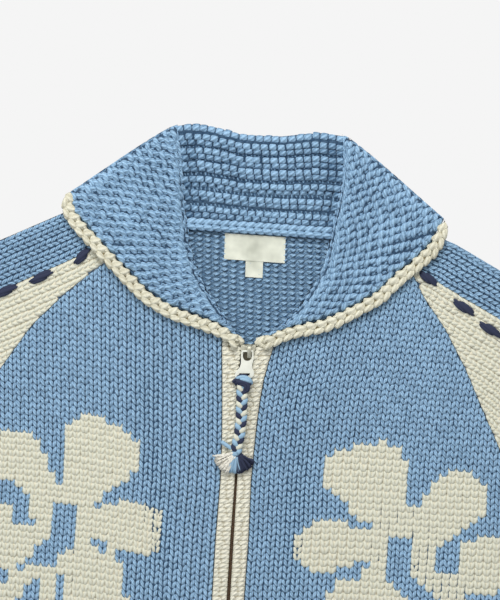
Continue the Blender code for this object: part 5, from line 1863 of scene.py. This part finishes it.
@dataclass
class Pull:
    """Pull tab, the braid tied to it and the braid's tufts.

    The arcs round the tab are x, y, half width, rise in plan and lift; the loops are given by their points.
    """

    period: float = 16.6
    swing: float = 3.3
    weave: float = 1.3
    strand: float = 2.7
    loop: float = 2.0
    wisp: float = 1.15
    wisps: int = 80
    arcs: Table = ((-0.6, -36.6, 8.6, 2.8, 2.0), (0.2, -38.6, 7.0, 1.4, 3.0))
    loops: Tuple[Tuple[Table, Yarn], ...] = (
        (((-5.4, -32.4, 13.6), (-2.4, -30.9, 14.6), (1.0, -30.7, 15.0), (4.4, -31.6, 14.4)), Yarn.NAVY),
        (((-6.8, -34.2, 13.8), (-3.2, -32.3, 16.2), (1.0, -31.9, 17.2), (5.0, -33.3, 17.2), (7.4, -35.6, 16.2),
          (8.0, -38.6, 14.6)), Yarn.SKY),
        (((-2.4, -34.2, 17.2), (1.6, -34.6, 19.0), (5.0, -35.6, 19.0), (7.2, -37.4, 16.8)), Yarn.SKY),
        (((-6.6, -36.6, 17.4), (-1.0, -36.9, 19.6), (4.0, -39.0, 19.8), (5.4, -42.4, 19.6),
          (3.4, -46.4, 18.2)), Yarn.NAVY),
        (((-4.6, -38.8, 17.4), (-0.4, -39.0, 19.4), (2.4, -41.4, 19.6), (2.2, -44.4, 18.6)), Yarn.NAVY))

    def build(self) -> None:
        """Make the pieces that swing with the tab."""
        rounded("pull_tab_enamel", "pull_tab", 0.3, Yarn.ENAMEL, "pull")
        tufts = [self.tuft(name) for name in TUFTS]
        knot = self.knot()
        braid, length = self.braid()
        path = self.path(np.linspace(0.0, len(BRAID_PATH) - 1.0, 30))
        tuple(world(path[:1])[0])
        [tuple(point) for point in world(path)]

    def path(self, at: Array) -> Array:
        """Middle line of the braid."""
        return raised(along_curve(BRAID_PATH, at), BRAID_HEIGHT)

    def braid(self) -> Tuple[Piece, float]:
        """Three strands woven over each other.

        Returns:
            The piece and the braid's length.
        """
        fine = self.path(np.linspace(0.0, len(BRAID_PATH) - 1.0, 200))
        reach = lengths(fine)
        steps = np.arange(0.0, reach[-1], 0.8)
        middle = between(steps, reach, fine)
        tangent = directions(middle)
        side = raised(turned(tangent))
        narrow = (0.75 + 0.25 * smooth(steps / 8.0))[:, None]
        paths = []
        for order, finish in enumerate((Yarn.CREAM, Yarn.NAVY, Yarn.SKY)):
            phase = (steps / self.period + order / 3.0) * math.tau + 2.25
            swing = side * (self.swing * np.sin(phase))[:, None] * narrow
            lift = np.column_stack((np.zeros((len(steps), 2)), -self.weave * np.sin(2 * phase)))
            paths.append((middle + swing + lift, finish))
        piece = strands("braid_yarn", paths, self.strand)
        return settle(piece, ["braid"], "pull"), float(reach[-1])

    def knot(self) -> Piece:
        """Loops of yarn through the tab's slot, and the tie at the braid's end.

        Returns:
            The piece.
        """
        turn = np.linspace(0.0, math.pi, 14)
        paths = []
        for x, y, half, rise, lift in self.arcs:
            plan = np.column_stack((x + half * np.cos(turn), y + rise * np.sin(turn)))
            paths.append((raised(plan, 13.2 + lift * np.sin(turn) ** 0.5), Yarn.NAVY))
        for table, finish in self.loops:
            points = np.array(table)
            at = np.linspace(0.0, len(points) - 1.0, 16)
            heights = np.interp(at, range(len(points)), points[:, 2])
            paths.append((raised(along_curve(points[:, :2], at), heights), finish))
        slope = np.linspace(0.0, 1.0, 8)[:, None]
        paths.append((raised(np.array((7.0, -37.0)) + np.array((-4.6, -9.0)) * slope, 17.2), Yarn.NAVY))
        loose = np.array((-10.0, -104.0)) + np.array((-11.5, 7.5)) * slope ** 1.2
        paths.append((raised(loose, 16.2 - 2.6 * slope[:, 0]), Yarn.SKY))
        wrap = np.linspace(0.0, 2.6 * math.tau, 40)
        plan = np.column_stack((-7.3 + 2.6 * np.cos(wrap), -106.6 - 2.6 * wrap / wrap[-1]))
        paths.append((raised(plan, BRAID_HEIGHT - 1.2 + 2.2 * np.sin(wrap)), Yarn.SKY))
        return settle(strands("yarn_loops", paths, self.loop), (), "pull")

    def tuft(self, name: str) -> Piece:
        """A tuft of cut yarn, spread from its root.

        Args:
            name: which tuft.
        Returns:
            The piece.
        """
        first, last, length = TUFTS[name]
        finish = {"cream": Yarn.WHITE, "sky": Yarn.SKY, "navy": Yarn.NAVY}[name]
        generator = np.random.default_rng(SEED + len(name))
        step = np.linspace(0.0, 1.0, 7)[:, None]
        paths = []
        for index in range(self.wisps):
            share = (index + 0.5) / self.wisps
            angle = math.radians(first + share * (last - first) + generator.normal(0.0, 3.0))
            heading = np.array((math.cos(angle), math.sin(angle)))
            start = np.array(BRAID_TIE) + heading * 3.0 + generator.normal(0.0, 0.9, 2)
            end = np.array(BRAID_TIE) + heading * length * generator.uniform(0.82, 1.05)
            curl = turned(heading) * generator.normal(0.0, 2.2)
            level = generator.uniform(13.2, 17.6) - 1.9 * step[:, 0] ** 2
            paths.append((raised(start + (end - start) * step + curl * step ** 2, level), finish))
        piece = strands("tuft_" + name, paths, self.wisp, 0.7)
        return settle(piece, ["tassel_" + name], "pull")


@dataclass
class Labels:
    """Plain woven labels sewn under the neck chain."""

    cuts: int = 14
    level: float = 5.75
    thickness: float = 0.4
    wave: float = 0.22

    def build(self) -> None:
        """Make both labels."""
        self.label("neck_label", NECK_LABEL, 0.9)
        self.label("size_label", SIZE_LABEL, 0.3)

    def label(self, name: str, corners: Sequence, lift: float) -> None:
        """One label, sewn at its ends and a little raised between.

        Args:
            name: its node.
            corners: in plan.
            lift: of its middle.
        """
        corner = np.array(corners, float)
        sheet = bmesh.new()
        bmesh.ops.create_grid(sheet, x_segments=self.cuts, y_segments=self.cuts, size=0.5)
        for vert in sheet.verts:
            across, up = vert.co.x + 0.5, vert.co.y + 0.5
            top = corner[0] * (1 - across) + corner[1] * across
            foot = corner[3] * (1 - across) + corner[2] * across
            pillow = math.sin(math.pi * across) ** 0.6 * lift
            ripple = self.wave * math.sin(7.0 * across + 2.0 * up) * math.sin(math.pi * across)
            vert.co = world(np.array(((*(foot * (1 - up) + top * up), self.level + pillow + ripple),)))[0]
        bmesh.ops.solidify(sheet, geom=sheet.faces[:], thickness=self.thickness * MM)
        bmesh.ops.recalc_face_normals(sheet, faces=sheet.faces)
        piece = settle(link(name + "_satin", as_mesh(sheet, name, 50.0), Yarn.SATIN), [name])


def main() -> None:
    """Build the cardigan piece by piece."""
    logging.basicConfig(level=logging.INFO, format="%(name)s %(message)s")
    Studio().build()
    left, right = Half("left"), Half("right")
    Pull().build()
    Front(left).build()
    Front(right, near_pitch=9.0, rise=((0, 0.13), (60, 0.10), (100, -0.05), (150, -0.09), (220, -0.05)),
          level_from=60.0, level_over=300.0, hem_rise=-0.056, top_lean=0.20).build()
    Sleeve(left).build()
    Sleeve(right, saddle=39.5, first_column=-4.5).build()
    Collar(left, right).build()
    for half in (left, right):
        Edging(half).build()
        Bands(half).build()
        Ribs(half).hem()
        Ribs(half).cuff()
    Inside(left, right).build()
    Zip().build()
    Labels().build()


if __name__ == "__main__":
    main()
